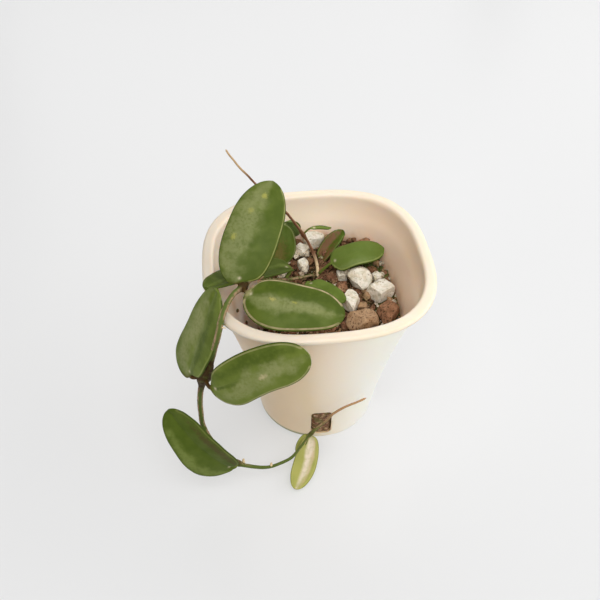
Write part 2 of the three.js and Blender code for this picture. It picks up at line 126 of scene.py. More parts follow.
@dataclass(frozen=True)
class Path:
    """A smooth centripetal curve through points, in mm."""

    points: tuple[Vector, ...]

    @classmethod
    def through(cls, points: Iterable[Sequence[float]]) -> Path:
        """Make a path through plain triples."""
        return cls(tuple(Vector(point) for point in points))

    def at(self, share: float) -> Vector:
        """Give the point at a share of the path's spans.

        Args:
            share: 0 at the first point and 1 at the last, with equal steps between points.

        Returns:
            The point on the curve, in mm.
        """
        last = len(self.points) - 1
        place = min(max(share, 0.0), 1.0) * last
        index = min(int(place), last - 1)
        weight = place - index
        second, third = self.points[index], self.points[index + 1]
        first = self.points[index - 1] if index > 0 else second * 2 - third
        fourth = self.points[index + 2] if index + 2 <= last else third * 2 - second
        steps = [math.sqrt((b - a).length) for a, b in ((first, second), (second, third), (third, fourth))]
        before, here, after = steps
        leave = ((second - first) / before - (third - first) / (before + here)) * here + third - second
        reach = ((fourth - third) / after - (fourth - second) / (here + after)) * here + third - second
        square = (third - second) * 3 - leave * 2 - reach
        cube = (second - third) * 2 + leave + reach
        return second + leave * weight + square * weight**2 + cube * weight**3

    def along(self, share: float) -> Vector:
        """Give the direction of travel at a share of the spans."""
        step = 0.0005
        return (self.at(share + step) - self.at(share - step)).normalized()

    def even(self, count: int) -> list[Vector]:
        """Give points at equal distances along the path.

        Args:
            count: How many points to give.

        Returns:
            The points, in mm, from the first to the last.
        """
        dense = 24 * len(self.points)
        samples = np.array([self.at(step / dense) for step in range(dense + 1)])
        lengths = np.concatenate([[0.0], np.cumsum(np.linalg.norm(np.diff(samples, axis=0), axis=1))])
        wanted = np.linspace(0.0, lengths[-1], count)
        columns = [np.interp(wanted, lengths, samples[:, axis]) for axis in range(3)]
        return [Vector(row) for row in np.stack(columns, axis=1)]


# Meshes


@dataclass
class Skin:
    """A mesh in the making: its points in mm, its faces and each point's value for every named attribute."""

    points: list[Vector] = field(default_factory=list)
    faces: list[tuple[int, ...]] = field(default_factory=list)
    values: dict[str, list[float]] = field(default_factory=dict)

    def point(self, place: Vector, **values: float) -> int:
        """Add a point with its values and give its number."""
        self.points.append(place)
        for name, value in values.items():
            self.values.setdefault(name, []).append(value)
        return len(self.points) - 1

    def bridge(self, lower: Sequence[int], upper: Sequence[int]) -> None:
        """Join two closed rings of the same count with quads."""
        count = len(lower)
        for here in range(count):
            following = (here + 1) % count
            self.faces.append((lower[here], lower[following], upper[following], upper[here]))

    def loft(self, rings: Sequence[Sequence[int]], turned: bool = False) -> None:
        """Join rings in a row, turned round where they run the other way."""
        for lower, upper in zip(rings, rings[1:]):
            self.bridge(*((upper, lower) if turned else (lower, upper)))

    def cap(self, ring: Sequence[int], centre: int, turned: bool = False) -> None:
        """Close a ring with triangles to a centre point, turned round where it faces the other way."""
        count = len(ring)
        for here in range(count):
            pair = (ring[here], ring[(here + 1) % count])
            self.faces.append((pair[1], pair[0], centre) if turned else (*pair, centre))

    def make(self, name: str, sharp_degrees: float = 180.0) -> bpy.types.Object:
        """Turn the skin into an object at the origin, in metres.

        Args:
            name: The piece's name.
            sharp_degrees: Edges that bend more than this are shaded sharp.

        Returns:
            The new object, linked to the scene.
        """
        mesh = bpy.data.meshes.new(name)
        mesh.from_pydata([tuple(place * MM) for place in self.points], [], self.faces)
        for key, values in self.values.items():
            mesh.attributes.new(key, "FLOAT", "POINT").data.foreach_set("value", values)
        mesh.validate()
        mesh.shade_smooth()
        mesh.set_sharp_from_angle(angle=math.radians(sharp_degrees))
        return link(bpy.data.objects.new(name, mesh))


def link(made: bpy.types.Object) -> bpy.types.Object:
    """Put an object into the scene and give it back."""
    bpy.context.scene.collection.objects.link(made)
    return made


def dress(piece: bpy.types.Object, material: bpy.types.Material, slot: Slot, *nodes: str) -> None:
    """Give a piece its material and its body, and hide the plain nodes that it stands for.

    Args:
        piece: The finished object, with its place in its mesh.
        material: The material of its whole surface.
        slot: Not used.
        nodes: The frame's nodes that the piece replaces.
    """
    piece.data.materials.clear()
    piece.data.materials.append(material)
    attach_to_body(piece, BODY)
    if nodes:
        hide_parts(*nodes)
    LOG.info("%s: %d faces", piece.name, len(piece.data.polygons))


# Shader nodes


def add(tree: Tree, kind: str, settings: dict | None = None, inputs: dict | None = None) -> Socket | None:
    """Add a node with its settings, and fill its sockets with values or links.

    Args:
        tree: The node tree.
        kind: The node's type name.
        settings: Properties of the node.
        inputs: Values or sockets, by socket name or number.

    Returns:
        The node's first output in use, or None where it has none.
    """
    node = tree.nodes.new(kind)
    for name, value in (settings or {}).items():
        setattr(node, name, value)
    for key, value in (inputs or {}).items():
        named = (socket for socket in node.inputs if socket.enabled and socket.name == key)
        socket = node.inputs[key] if isinstance(key, int) else next(named)
        if isinstance(value, Socket):
            tree.links.new(value, socket)
        else:
            socket.default_value = value
    return next((socket for socket in node.outputs if socket.enabled), None)


def linear(colour: str) -> tuple[float, float, float, float]:
    """Turn an sRGB hex colour into linear values with full alpha."""
    parts = [int(colour[start : start + 2], 16) / 255 for start in (0, 2, 4)]
    straight = [part / 12.92 if part <= 0.04045 else ((part + 0.055) / 1.055) ** 2.4 for part in parts]
    return (*straight, 1.0)


def value_of(tree: Tree, name: str) -> Socket:
    """Read a mesh's own attribute as a number."""
    return add(tree, "ShaderNodeAttribute", {"attribute_name": name}).node.outputs["Fac"]


def mottle(
    tree: Tree, size: float, low: float, high: float, detail: float = 3.0, shift: float = 0.0
) -> Socket:
    """Add soft patches of a real size on object coordinates.

    Args:
        tree: The node tree.
        size: Width of a patch in mm.
        low: Noise value that becomes 0.
        high: Noise value that becomes 1.
        detail: How many finer layers the noise has.
        shift: Moves the pattern, so that two patterns differ.

    Returns:
        A number from 0 to 1.
    """
    place = add(tree, "ShaderNodeTexCoord").node.outputs["Object"]
    moves = {"Vector": place, "Location": (shift, shift * 0.7, shift * 1.3)}
    moved = add(tree, "ShaderNodeMapping", {}, moves)
    wave = add(tree, "ShaderNodeTexNoise", {}, {"Vector": moved, "Scale": 1 / (size * MM), "Detail": detail})
    return add(tree, RANGE, SMOOTH, {"Value": wave, "From Min": low, "From Max": high})


def specks(tree: Tree, size: float, radius: float, share: float) -> Socket:
    """Add round specks of a real spacing on object coordinates.

    Args:
        tree: The node tree.
        size: Spacing in mm.
        radius: Size of a speck as a share of the spacing.
        share: How many of the cells hold a speck, from 0 to 1.

    Returns:
        A number that is 1 in a speck and 0 outside.
    """
    place = add(tree, "ShaderNodeTexCoord").node.outputs["Object"]
    cells = add(tree, "ShaderNodeTexVoronoi", {}, {"Vector": place, "Scale": 1 / (size * MM)})
    lone = add(tree, "ShaderNodeSeparateColor", {}, {"Color": cells.node.outputs["Color"]})
    kept = add(tree, MATH, {"operation": "LESS_THAN"}, {0: lone, 1: share})
    dot = add(tree, RANGE, SMOOTH, {"Value": cells, "From Min": radius, "From Max": radius * 0.5})
    return add(tree, MATH, TIMES, {0: dot, 1: kept})


def painted(tree: Tree, base: Socket | str, layers: Iterable[tuple[Socket, Socket | str]]) -> Socket:
    """Lay colours over a base one after the other, each by its own share.

    Args:
        tree: The node tree.
        base: What lies below: an sRGB hex colour, or a colour of the tree.
        layers: Each layer's share and its colour.

    Returns:
        The colour that results.
    """
    for share, colour in layers:
        below, above = (linear(part) if isinstance(part, str) else part for part in (base, colour))
        base = add(tree, MIX, PAINT, {"Factor": share, "A": below, "B": above})
    return base


@dataclass(frozen=True)
class Finish:
    """A material: its name and what its shader is fed with."""

    name: str

    def surface(self, tree: Tree) -> dict[str, object]:
        """Add the pattern nodes.

        Args:
            tree: The material's node tree.

        Returns:
            The shader's inputs by name.
        """
        raise NotImplementedError

    def material(self) -> bpy.types.Material:
        """Build the material with one principled shader."""
        made = bpy.data.materials.new(self.name)
        made.use_nodes = True
        made.node_tree.nodes.clear()
        shader = add(made.node_tree, "ShaderNodeBsdfPrincipled", {}, self.surface(made.node_tree))
        add(made.node_tree, "ShaderNodeOutputMaterial", {}, {"Surface": shader})
        return made


@dataclass(frozen=True)
class MouldedPlastic(Finish):
    """Injection moulded polypropylene: smooth cream, softly glossy, with a faint mould grain.

    Painted light and shade: outside, the plastic is painted whiter cream towards the lit right side and warm
    tan towards the shaded left; inside, it is painted lighter, and darker towards the right wall; the bead's
    top has its own painted lit and shaded tones; and a thin olive line along the foot's left edge is a
    painted contact shadow. Inside, just above the mix, a tan band fades upwards.
    """

    # The cream and the warm tan are painted lit and shaded tones of the one plastic: cream where light falls
    # on the right, warm tan in the shade on the left.
    cream: str = "FAF4E8"
    shaded_warm: str = "E5CAA4"
    # A tan tint on the inner wall: a band just above the mix, and patches.
    stain: str = "D2AE88"
    inner_painted_light: str = "F3E0CC"
    # A painted contact shadow along the foot's lower left edge.
    grime: str = "7C804E"
    # Painted tones of the bead's top, darker than the cream where light falls on it: a shaded tone on the
    # left and a lit one on the right.
    bead_painted_shade: str = "DACEBC"
    bead_painted_light: str = "F1E2CB"

    def surface(self, tree: Tree) -> dict[str, object]:
        """Mix the painted lit and shaded tones of the plastic, the painted light inside, the bead's painted
        tones, the tan band and the painted foot shadow, with a fine grain as bump.
        """
        inside = value_of(tree, "inside")
        # Painted light: the inner wall is painted lighter, for light that comes through the thin plastic.
        inner_light_share = add(tree, MATH, TIMES, {0: inside, 1: 0.5})
        lumps = {0: mottle(tree, 3, 0.2, 0.8), 1: -3.0, 2: value_of(tree, "above_mix")}
        ragged = add(tree, MATH, TIMES_PLUS, lumps)
        band = add(tree, RANGE, SMOOTH, {"Value": ragged, "From Min": 4.5, "From Max": -5.5})
        marks = add(tree, MATH, {"operation": "MAXIMUM"}, {0: band, 1: value_of(tree, "mark")})
        tan_band_share = add(tree, MATH, TIMES, {0: marks, 1: inside})
        # Painted light and shade on the bead's top: a shaded tone on the left turning to a lit tone on the
        # right.
        rolled = painted(tree, self.bead_painted_shade, [(value_of(tree, "bead_side"), self.bead_painted_light)])
        layers = (
            (value_of(tree, "faded"), self.cream), (value_of(tree, "bead"), rolled), (inner_light_share, self.inner_painted_light),
            (tan_band_share, self.stain), (value_of(tree, "grime"), self.grime),
        )
        grain = mottle(tree, 0.5, 0.2, 0.8, 2.0)
        bump = add(tree, "ShaderNodeBump", {}, {"Strength": 0.12, "Distance": 0.05 * MM, "Height": grain})
        rough = add(tree, RANGE, {}, {"Value": mottle(tree, 22, 0.35, 0.7), "To Min": 0.3, "To Max": 0.38})
        return {"Base Color": painted(tree, self.shaded_warm, layers), "Roughness": rough, "Normal": bump,
                "IOR": 1.49, "Subsurface Weight": 0.6, "Subsurface Radius": (1.0, 0.8, 0.55),
                "Subsurface Scale": 1.6 * MM}


@dataclass(frozen=True)
class DampMix(Finish):
    """Damp potting mix of peat, bark and pumice dust: nearly black in its gaps, with brown and tan bits.

    Each crumb has its own tone. A little moss grows where the mix stays wet, along the right wall.
    """

    peat: str = "37270F"
    bark: str = "835A42"
    tan: str = "B6926E"
    chip: str = "EADDC6"
    moss: str = "55682A"

    def surface(self, tree: Tree) -> dict[str, object]:
        """Pick each crumb's colour by its tone and lay moss over it in patches."""
        tone = value_of(tree, "tone")
        layers = []
        for low, high, colour in ((0.38, 0.46, self.bark), (0.74, 0.78, self.tan), (0.9, 0.92, self.chip)):
            share = add(tree, RANGE, SMOOTH, {"Value": tone, "From Min": low, "From Max": high})
            layers.append((share, colour))
        veils = (
            (mottle(tree, 0.9, 0.5, 0.6), 0.55, self.peat),
            (mottle(tree, 0.8, 0.56, 0.64, 3.0, 0.05), 0.6, self.tan),
            (mottle(tree, 3.2, 0.46, 0.6), value_of(tree, "wet"), self.moss),
        )
        for patches, strength, colour in veils:
            layers.append((add(tree, MATH, TIMES, {0: patches, 1: strength}), colour))
        grit = mottle(tree, 0.6, 0.2, 0.8, 5.0)
        bump = add(tree, "ShaderNodeBump", {}, {"Strength": 0.7, "Distance": 0.35 * MM, "Height": grit})
        return {"Base Color": painted(tree, self.peat, layers), "Roughness": 0.88, "Normal": bump,
                "Specular IOR Level": 0.25}


@dataclass(frozen=True)
class PorousStone(Finish):
    """A broken porous stone, such as pumice or baked clay: matt, with dark pores and stained hollows.

    Pores are drawn about 0.6 mm wide, coarser than most real ones, so that they show.
    """

    light: str = "FAF2E4"
    shade: str = "E3D5BC"
    pore: str = "B3A080"
    stain: str = "99A070"
    pores: float = 0.1
    stained: float = 0.2

    def surface(self, tree: Tree) -> dict[str, object]:
        """Mix the light and shaded stone, its pores and its stains."""
        patches = mottle(tree, 2.1, 0.5, 0.66, 3.0, 0.03)
        weak = add(tree, MATH, TIMES, {0: patches, 1: self.stained})
        held = {**TIMES_PLUS, "use_clamp": True}
        tinged = add(tree, MATH, held, {0: value_of(tree, "hollow"), 1: self.stained, 2: weak})
        holes = {0: specks(tree, 1.0, 0.5, self.pores), 1: specks(tree, 0.55, 0.55, self.pores)}
        both = add(tree, MATH, {"operation": "MAXIMUM"}, holes)
        dark = add(tree, MATH, TIMES, {0: both, 1: 0.7})
        layers = ((mottle(tree, 2.6, 0.42, 0.66, 5.0), self.shade), (tinged, self.stain), (dark, self.pore))
        relief = add(tree, MATH, {"operation": "SUBTRACT"}, {0: mottle(tree, 0.5, 0.2, 0.8, 4.0), 1: both})
        bump = add(tree, "ShaderNodeBump", {}, {"Strength": 0.6, "Distance": 0.25 * MM, "Height": relief})
        return {"Base Color": painted(tree, self.light, layers), "Roughness": 0.9, "Normal": bump,
                "Specular IOR Level": 0.3}


@dataclass(frozen=True)
class Bark(Finish):
    """The skin of a soft stem: green or brown, satin, streaked along its length and darker at its joints."""

    body: str = "55632A"
    streak: str = "A5876A"
    joint: str = "3C2B10"
    tip: str = "AC8660"
    tip_from: float = 0.85
    tip_to: float = 0.95
    root: str = "DCC39A"

    def surface(self, tree: Tree) -> dict[str, object]:
        """Mix the body, the streaks, the dry tip, the pale young part and the dark joints."""
        ends = {"Value": value_of(tree, "along"), "From Min": self.tip_from, "From Max": self.tip_to}
        marks = (
            ("streak", self.streak, 1.6, 0.3, 0.6), ("pale", self.root, 1.2, 0.2, 0.5),
            ("joint", self.joint, 2.0, 0.2, 0.5),
        )
        layers = []
        for name, colour, size, low, high in marks:
            ragged = {0: value_of(tree, name), 1: mottle(tree, size, low, high)}
            layers.append((add(tree, MATH, TIMES, ragged), colour))
        layers.insert(1, (add(tree, RANGE, SMOOTH, ends), self.tip))
        grain = mottle(tree, 0.5, 0.2, 0.8, 3.0)
        bump = add(tree, "ShaderNodeBump", {}, {"Strength": 0.4, "Distance": 0.12 * MM, "Height": grain})
        return {"Base Color": painted(tree, self.body, layers), "Roughness": 0.6, "Normal": bump, "IOR": 1.4,
                "Specular IOR Level": 0.2}


@dataclass(frozen=True)
class Patch:
    """A painted area of a leaf, placed by shares of the blade.

    Attributes:
        colour: Its sRGB hex colour.
        across: Middle, from -1 at one edge to 1 at the other.
        along: Middle, from 0 at the base to 1 at the tip.
        wide: Half its width, in the same share as across.
        long: Half its length, in the same share as along.
        strength: How strongly it covers what is below it.
        grain: Width of its mottling in mm.
    """

    colour: str
    across: float
    along: float
    wide: float
    long: float
    strength: float = 0.8
    grain: float = 1.4


@dataclass(frozen=True)
class WaxyLeaf(Finish):
    """A hoya leaf: thick, waxy and satin, dark green with silvery mottling, with a painted highlight as a
    light line inside its margin and painted shade on its outermost edge.

    The painted highlight line's strength is a pair: on the left edge and on the right one, seen from the
    joint.
    """

    body: str = "57651F"
    deep: str = "485812"
    # The dark rim colour is painted shade on the turned-down edge; the pale margin colour is a painted
    # highlight where the bevelled edge catches light.
    rim: str = "3E4C0E"
    margin_highlight: str = "AFA672"
    under: str = "76843C"
    gland: str = "CFC3A2"
    stalk: str = "5E6A28"
    patches: tuple[Patch, ...] = ()
    edge_shade_width: float = 0.4
    margin_highlight_width: float = 0.5
    margin_highlight_sides: tuple[float, float] = (0.2, 0.2)
    roughness: float = 0.46

    def cover(self, tree: Tree, colour: Socket, patch: Patch, number: int) -> Socket:
        """Lay one patch over a colour.

        Args:
            tree: The node tree.
            colour: What lies below.
            patch: The area to paint.
            number: The patch's place in the list, which moves its mottling.

        Returns:
            The new colour.
        """
        place = {"X": value_of(tree, "across"), "Y": value_of(tree, "along")}
        spot = add(tree, "ShaderNodeCombineXYZ", {}, place)
        steps = (("SUBTRACT", (patch.across, patch.along, 0)), ("DIVIDE", (patch.wide, patch.long, 1)))
        for work, pair in steps:
            spot = add(tree, "ShaderNodeVectorMath", {"operation": work}, {0: spot, 1: pair})
        reach = add(tree, "ShaderNodeVectorMath", {"operation": "LENGTH"}, {0: spot}).node.outputs["Value"]
        clouds = mottle(tree, patch.grain * 2.6, 0.3, 0.7, 4.0, 0.013 * (number + 1))
        ragged = add(tree, MATH, TIMES_PLUS, {0: clouds, 1: -0.6, 2: reach})
        inside = add(tree, RANGE, SMOOTH, {"Value": ragged, "From Min": 0.85, "From Max": -0.15})
        fine = mottle(tree, patch.grain * 0.6, 0.25, 0.6, 3.0, 0.021 * (number + 1))
        grains = add(tree, RANGE, {}, {"Value": fine, "To Min": 0.5, "To Max": 1.0})
        share = add(tree, MATH, TIMES, {0: inside, 1: grains})
        strong = add(tree, MATH, TIMES, {0: share, 1: patch.strength})
        return painted(tree, colour, [(strong, patch.colour)])

    def surface(self, tree: Tree) -> dict[str, object]:
        """Paint the blade in layers: body, patches, the margin's painted highlight, the edge's painted shade,
        gland, under face and stalk.
        """
        edge = value_of(tree, "edge")
        clouds = mottle(tree, 6, 0.35, 0.65, 8.0)
        paint = painted(tree, self.body, [(clouds, self.deep)])
        for number, patch in enumerate(self.patches):
            paint = self.cover(tree, paint, patch, number)
        # The margin line is a painted highlight, stronger on one edge than the other; the outer rim is
        # painted shade.
        left, right = self.margin_highlight_sides
        across = value_of(tree, "across")
        side = {"Value": across, "From Min": -0.4, "From Max": 0.4, "To Min": left, "To Max": right}
        weight = add(tree, RANGE, {}, side)
        middle = self.edge_shade_width + self.margin_highlight_width / 2
        off = add(tree, MATH, {"operation": "SUBTRACT"}, {0: edge, 1: middle})
        far = add(tree, MATH, {"operation": "ABSOLUTE"}, {0: off})
        line = {"Value": far, "From Min": self.margin_highlight_width * 0.7, "From Max": self.margin_highlight_width * 0.3}
        band = add(tree, RANGE, SMOOTH, line)
        broken = add(tree, RANGE, {}, {"Value": mottle(tree, 4, 0.35, 0.6), "To Min": 0.45, "To Max": 1.0})
        faded = add(tree, MATH, TIMES, {0: band, 1: broken})
        pale = add(tree, MATH, {**TIMES, "use_clamp": True}, {0: faded, 1: weight})
        edge_shade_range = {"Value": edge, "From Min": self.edge_shade_width, "From Max": self.edge_shade_width * 0.5}
        layers = [(pale, self.margin_highlight), (add(tree, RANGE, SMOOTH, edge_shade_range), self.rim)]
        parts = (("gland", self.gland), ("under", self.under), ("stalk", self.stalk))
        layers += [(value_of(tree, name), colour) for name, colour in parts]
        grain = mottle(tree, 0.8, 0.2, 0.8, 3.0)
        bump = add(tree, "ShaderNodeBump", {}, {"Strength": 0.25, "Distance": 0.12 * MM, "Height": grain})
        gloss = {"Value": clouds, "To Min": self.roughness, "To Max": self.roughness + 0.1}
        wax = add(tree, RANGE, {}, gloss)
        return {"Base Color": painted(tree, paint, layers), "Roughness": wax, "Normal": bump, "IOR": 1.42,
                "Specular IOR Level": 0.22}


@dataclass(frozen=True)
class WhiteTop(Finish):
    """A plain white table top with a soft gloss, in which the pot's foot is faintly mirrored.

    A faint glow of its own keeps the shadows on it as soft as in a white photo corner.
    """

    white: str = "9A9A9A"
    glow: float = 0.45

    def surface(self, tree: Tree) -> dict[str, object]:
        """Give a plain white with a soft gloss and a faint glow."""
        return {"Base Color": linear(self.white), "Roughness": 0.34, "IOR": 1.45,
                "Emission Color": linear("FFFFFF"), "Emission Strength": self.glow}


# The pot


@dataclass
class Pot:
    """The cream plastic pot: rounded square at the rim, round at the foot, with a bead and four windows.

    Each tan mark is a place on the inner wall and its reach in mm.
    """

    height: float = 83.0
    rim_half: float = 45.0
    wall_half_top: float = 43.0
    wall_hollow: float = 2.0
    foot_radius: float = 25.7
    squareness: float = 2.76
    wall: float = 1.6
    floor: float = 1.8
    bead: float = 2.6
    sides: int = 200
    window_width: float = 8.8
    window_bottom: float = 3.5
    window_top: float = 20.8
    window_corner: float = 2.0
    window_reach: float = 12.0
    window_turn: float = -0.036
    window_sides: int = 32
    marks: tuple[tuple[Triple, float], ...] = (
        ((-33.4, 3, 56), 5.0), ((-29.8, 8.9, 41), 2.2), ((-24.6, 15.6, 29), 2.2)
    )
    mark_strength: float = 0.8
    # How strong the painted contact shadow at the foot is, how high it reaches and how softly it fades.
    foot_shadow_strength: float = 0.9
    foot_shadow_top: float = 2.7
    foot_shadow_fade: float = 1.3
    # Where the bead's painted tone begins.
    bead_tone_from: float = 79.9
    # Where the painted lit cream begins outside and how far it runs, and its share inside on the left and on
    # the right wall.
    lit_side_from: float = -20.0
    lit_side_run: float = 42.0
    inner_lit_share: tuple[float, float] = (0.75, 0.3)

    def wall_at(self, level: float) -> float:
        """Give half the pot's outer width at a height: a slope that is drawn in half way up."""
        share = level / self.height
        return mix(self.foot_radius, self.wall_half_top, share) - self.wall_hollow * 4 * share * (1 - share)

    def square_at(self, level: float) -> float:
        """Give the exponent of the outline at a height: 2 is a circle, more is squarer."""
        return mix(2.0, self.squareness, level / self.height)

    def span(self, x: float, y: float, level: float) -> float:
        """Give half the width of the outline that runs through a place. Arrays of numbers work too."""
        power = self.square_at(level)
        return (abs(x) ** power + abs(y) ** power) ** (1 / power)

    def edge(self, turn: float, half: float, level: float) -> Vector:
        """Give one point of an outline.

        Args:
            turn: Its angle from +X, in radians.
            half: Half the outline's width.
            level: Its height.

        Returns:
            The point, in mm.
        """
        power = self.square_at(level)
        flat = Vector((math.cos(turn), math.sin(turn), 0.0))
        stretch = (abs(flat.x) ** power + abs(flat.y) ** power) ** (-1 / power)
        return flat * (half * stretch) + Vector((0.0, 0.0, level))

    def ring(self, half: float, level: float, sides: int) -> list[Vector]:
        """Give one closed outline, anticlockwise from +X."""
        return [self.edge(turn, half, level) for turn in turns(sides)]

    def profile(self) -> list[tuple[float, float, float]]:
        """Give the section from the foot's edge, up the outside, over the bead and down the inside.

        Returns:
            Half width, height and whether the row is inside, from 0 to 1.
        """
        top = self.height - self.bead
        rows = [(24.4, 0.0, 0.0), (24.95, 0.1, 0.0), (25.45, 0.35, 0.0)]
        levels = (0.8, 1.2, 1.6, 2.0, 2.4, 2.8, *np.linspace(3.6, top - 0.7, 40))
        rows += [(self.wall_at(level), level, 0.0) for level in levels]
        bead = (
            (self.wall_at(top), top - 0.15), (42.6, top), (43.4, top + 0.04), (44.1, top + 0.14),
            (44.6, top + 0.36), (44.88, 81.15), (self.rim_half, 81.65), (44.97, 82.1), (44.8, 82.5),
            (44.45, 82.79), (43.95, 82.95), (43.2, self.height), (42.4, 82.98), (41.7, 82.9), (41.15, 82.72),
            (40.75, 82.42), (40.5, 81.9), (40.36, 81.2), (40.28, 80.2), (40.12, 78.8), (39.85, 77.2),
            (39.45, 75.4), (38.85, 73.2),
        )
        for half, level in bead:
            rows.append((half, level, smooth((42.2 - half) / 1.6) if level > 81 else float(half < 42)))
        rows += [(self.wall_at(level) - self.wall, level, 1.0) for level in np.linspace(71.5, 3.6, 38)]
        return rows + [(25.2, 2.6, 1.0), (24.6, 2.0, 1.0), (23.8, self.floor, 1.0)]

    def told(self, place: Vector, inside: float, above: float) -> dict[str, float]:
        """Give the values of a point of the pot.

        Args:
            place: The point.
            inside: How far it counts as inside, from 0 to 1.
            above: Its height above the mix.

        Returns:
            The attributes by name.
        """
        # A painted contact shadow: a thin olive line low on the foot's left side, outside only.
        grime = self.foot_shadow_strength * smooth((self.foot_shadow_top - place.z) / self.foot_shadow_fade)
        grime *= smooth((-place.x - 1) / 8) * (1 - inside)
        # Painted light: outside, cream towards the lit right side; inside, lighter on the left and darker on
        # the right wall, which faces away from the light.
        outer = smooth((place.x - self.lit_side_from) / self.lit_side_run)
        inner = mix(*self.inner_lit_share, smooth((place.x - 8) / 25))
        return {
            "inside": inside, "above_mix": above, "mark": self.mark(place), "grime": grime,
            "faded": mix(outer, inner, inside),
            # The bead's painted tone, shaded on the left and lit towards the right and the back.
            "bead": smooth((place.z - self.bead_tone_from) / 0.9) * (1 - inside),
            "bead_side": smooth((place.x + self.rim_half + 0.8 * max(0.0, place.y)) / 80),
        }

    def mark(self, place: Vector) -> float:
        """Give how strongly a place on the inner wall is tinted tan, from 0 to 1."""
        gaps = [(place - Vector(at)).length / reach for at, reach in self.marks]
        return max(self.mark_strength * bell(gap) for gap in gaps)

    def window_share(self, place: Vector) -> float:
        """Give how far a place lies inside one of the windows.

        Args:
            place: The point, in mm.

        Returns:
            0 outside and at a window's edge, and 1 well inside it.
        """
        flat = Matrix.Rotation(-self.window_turn, 3, "Z") @ place
        across = min(abs(flat.x), abs(flat.y))
        share = smooth((self.window_width / 2 - 0.2 - across) / 1.2)
        share *= smooth((place.z - self.window_bottom + 0.2) / 0.8)
        return share * smooth((self.window_top - place.z) / 1.5)

    def cutter(self, turn: float) -> bpy.types.Object:
        """Make the rounded bar that cuts one window.

        Args:
            turn: How far it is turned about the pot's middle, in radians.

        Returns:
            The bar, through the front wall where it isn't turned.
        """
        middle = (self.window_bottom + self.window_top) / 2
        reach = Vector((self.window_width / 2, (self.window_top - self.window_bottom) / 2))
        reach -= Vector((1, 1)) * self.window_corner
        outline = []
        for step in range(self.window_sides):
            angle = 2 * math.pi * (step + 0.5) / self.window_sides
            way = Vector((math.cos(angle), math.sin(angle)))
            corner = Vector((math.copysign(reach.x, way.x), math.copysign(reach.y, way.y)))
            outline.append(corner + way * self.window_corner)
        skin = Skin()
        swing = Matrix.Rotation(turn, 3, "Z")
        rings = []
        for depth in (-self.foot_radius - self.window_reach, -self.foot_radius + self.window_reach):
            rings.append([skin.point(swing @ Vector((flat.x, depth, middle + flat.y))) for flat in outline])
        skin.bridge(rings[1], rings[0])
        skin.faces += [tuple(rings[0]), tuple(reversed(rings[1]))]
        return skin.make("window_cutter")

    def build(self, mix_top: Callable[[float, float], float]) -> None:
        """Make the pot with its windows and dress it.

        Args:
            mix_top: Gives the height of the mix at a place, for the tan band on the inner wall.
        """
        skin = Skin()
        rings = []
        for half, level, inside in self.profile():
            ring = []
            for place in self.ring(half, level, self.sides):
                ring.append(skin.point(place, **self.told(place, inside, level - mix_top(place.x, place.y))))
            rings.append(ring)
        skin.loft(rings)
        foot, base = Vector((0, 0, 0)), Vector((0, 0, self.floor))
        skin.cap(rings[0], skin.point(foot, **self.told(foot, 0.0, 0.0)), turned=True)
        skin.cap(rings[-1], skin.point(base, **self.told(base, 1.0, -40.0)))
        shell = skin.make("pot_shell")
        for quarter in range(4):
            cutter = self.cutter(quarter * math.pi / 2 + self.window_turn)
            cut = shell.modifiers.new("window", "BOOLEAN")
            cut.operation = "DIFFERENCE"
            cut.solver = "EXACT"
            cut.object = cutter
            bake_modifiers(shell)
            bpy.data.objects.remove(cutter)
        shell.data.shade_smooth()
        shell.data.set_sharp_from_angle(angle=math.radians(50))
        dress(shell, MouldedPlastic("moulded_polypropylene").material(), Slot.POT, "pot")


def bake_modifiers(piece: bpy.types.Object) -> None:
    """Turn a piece's modifiers into its plain mesh.

    Args:
        piece: The object, which keeps its name.
    """
    graph = bpy.context.evaluated_depsgraph_get()
    solid = piece.evaluated_get(graph)
    made = bpy.data.meshes.new_from_object(solid, preserve_all_data_layers=True, depsgraph=graph)
    piece.modifiers.clear()
    piece.data = made
    made.name = piece.name


# The potting mix and its stones


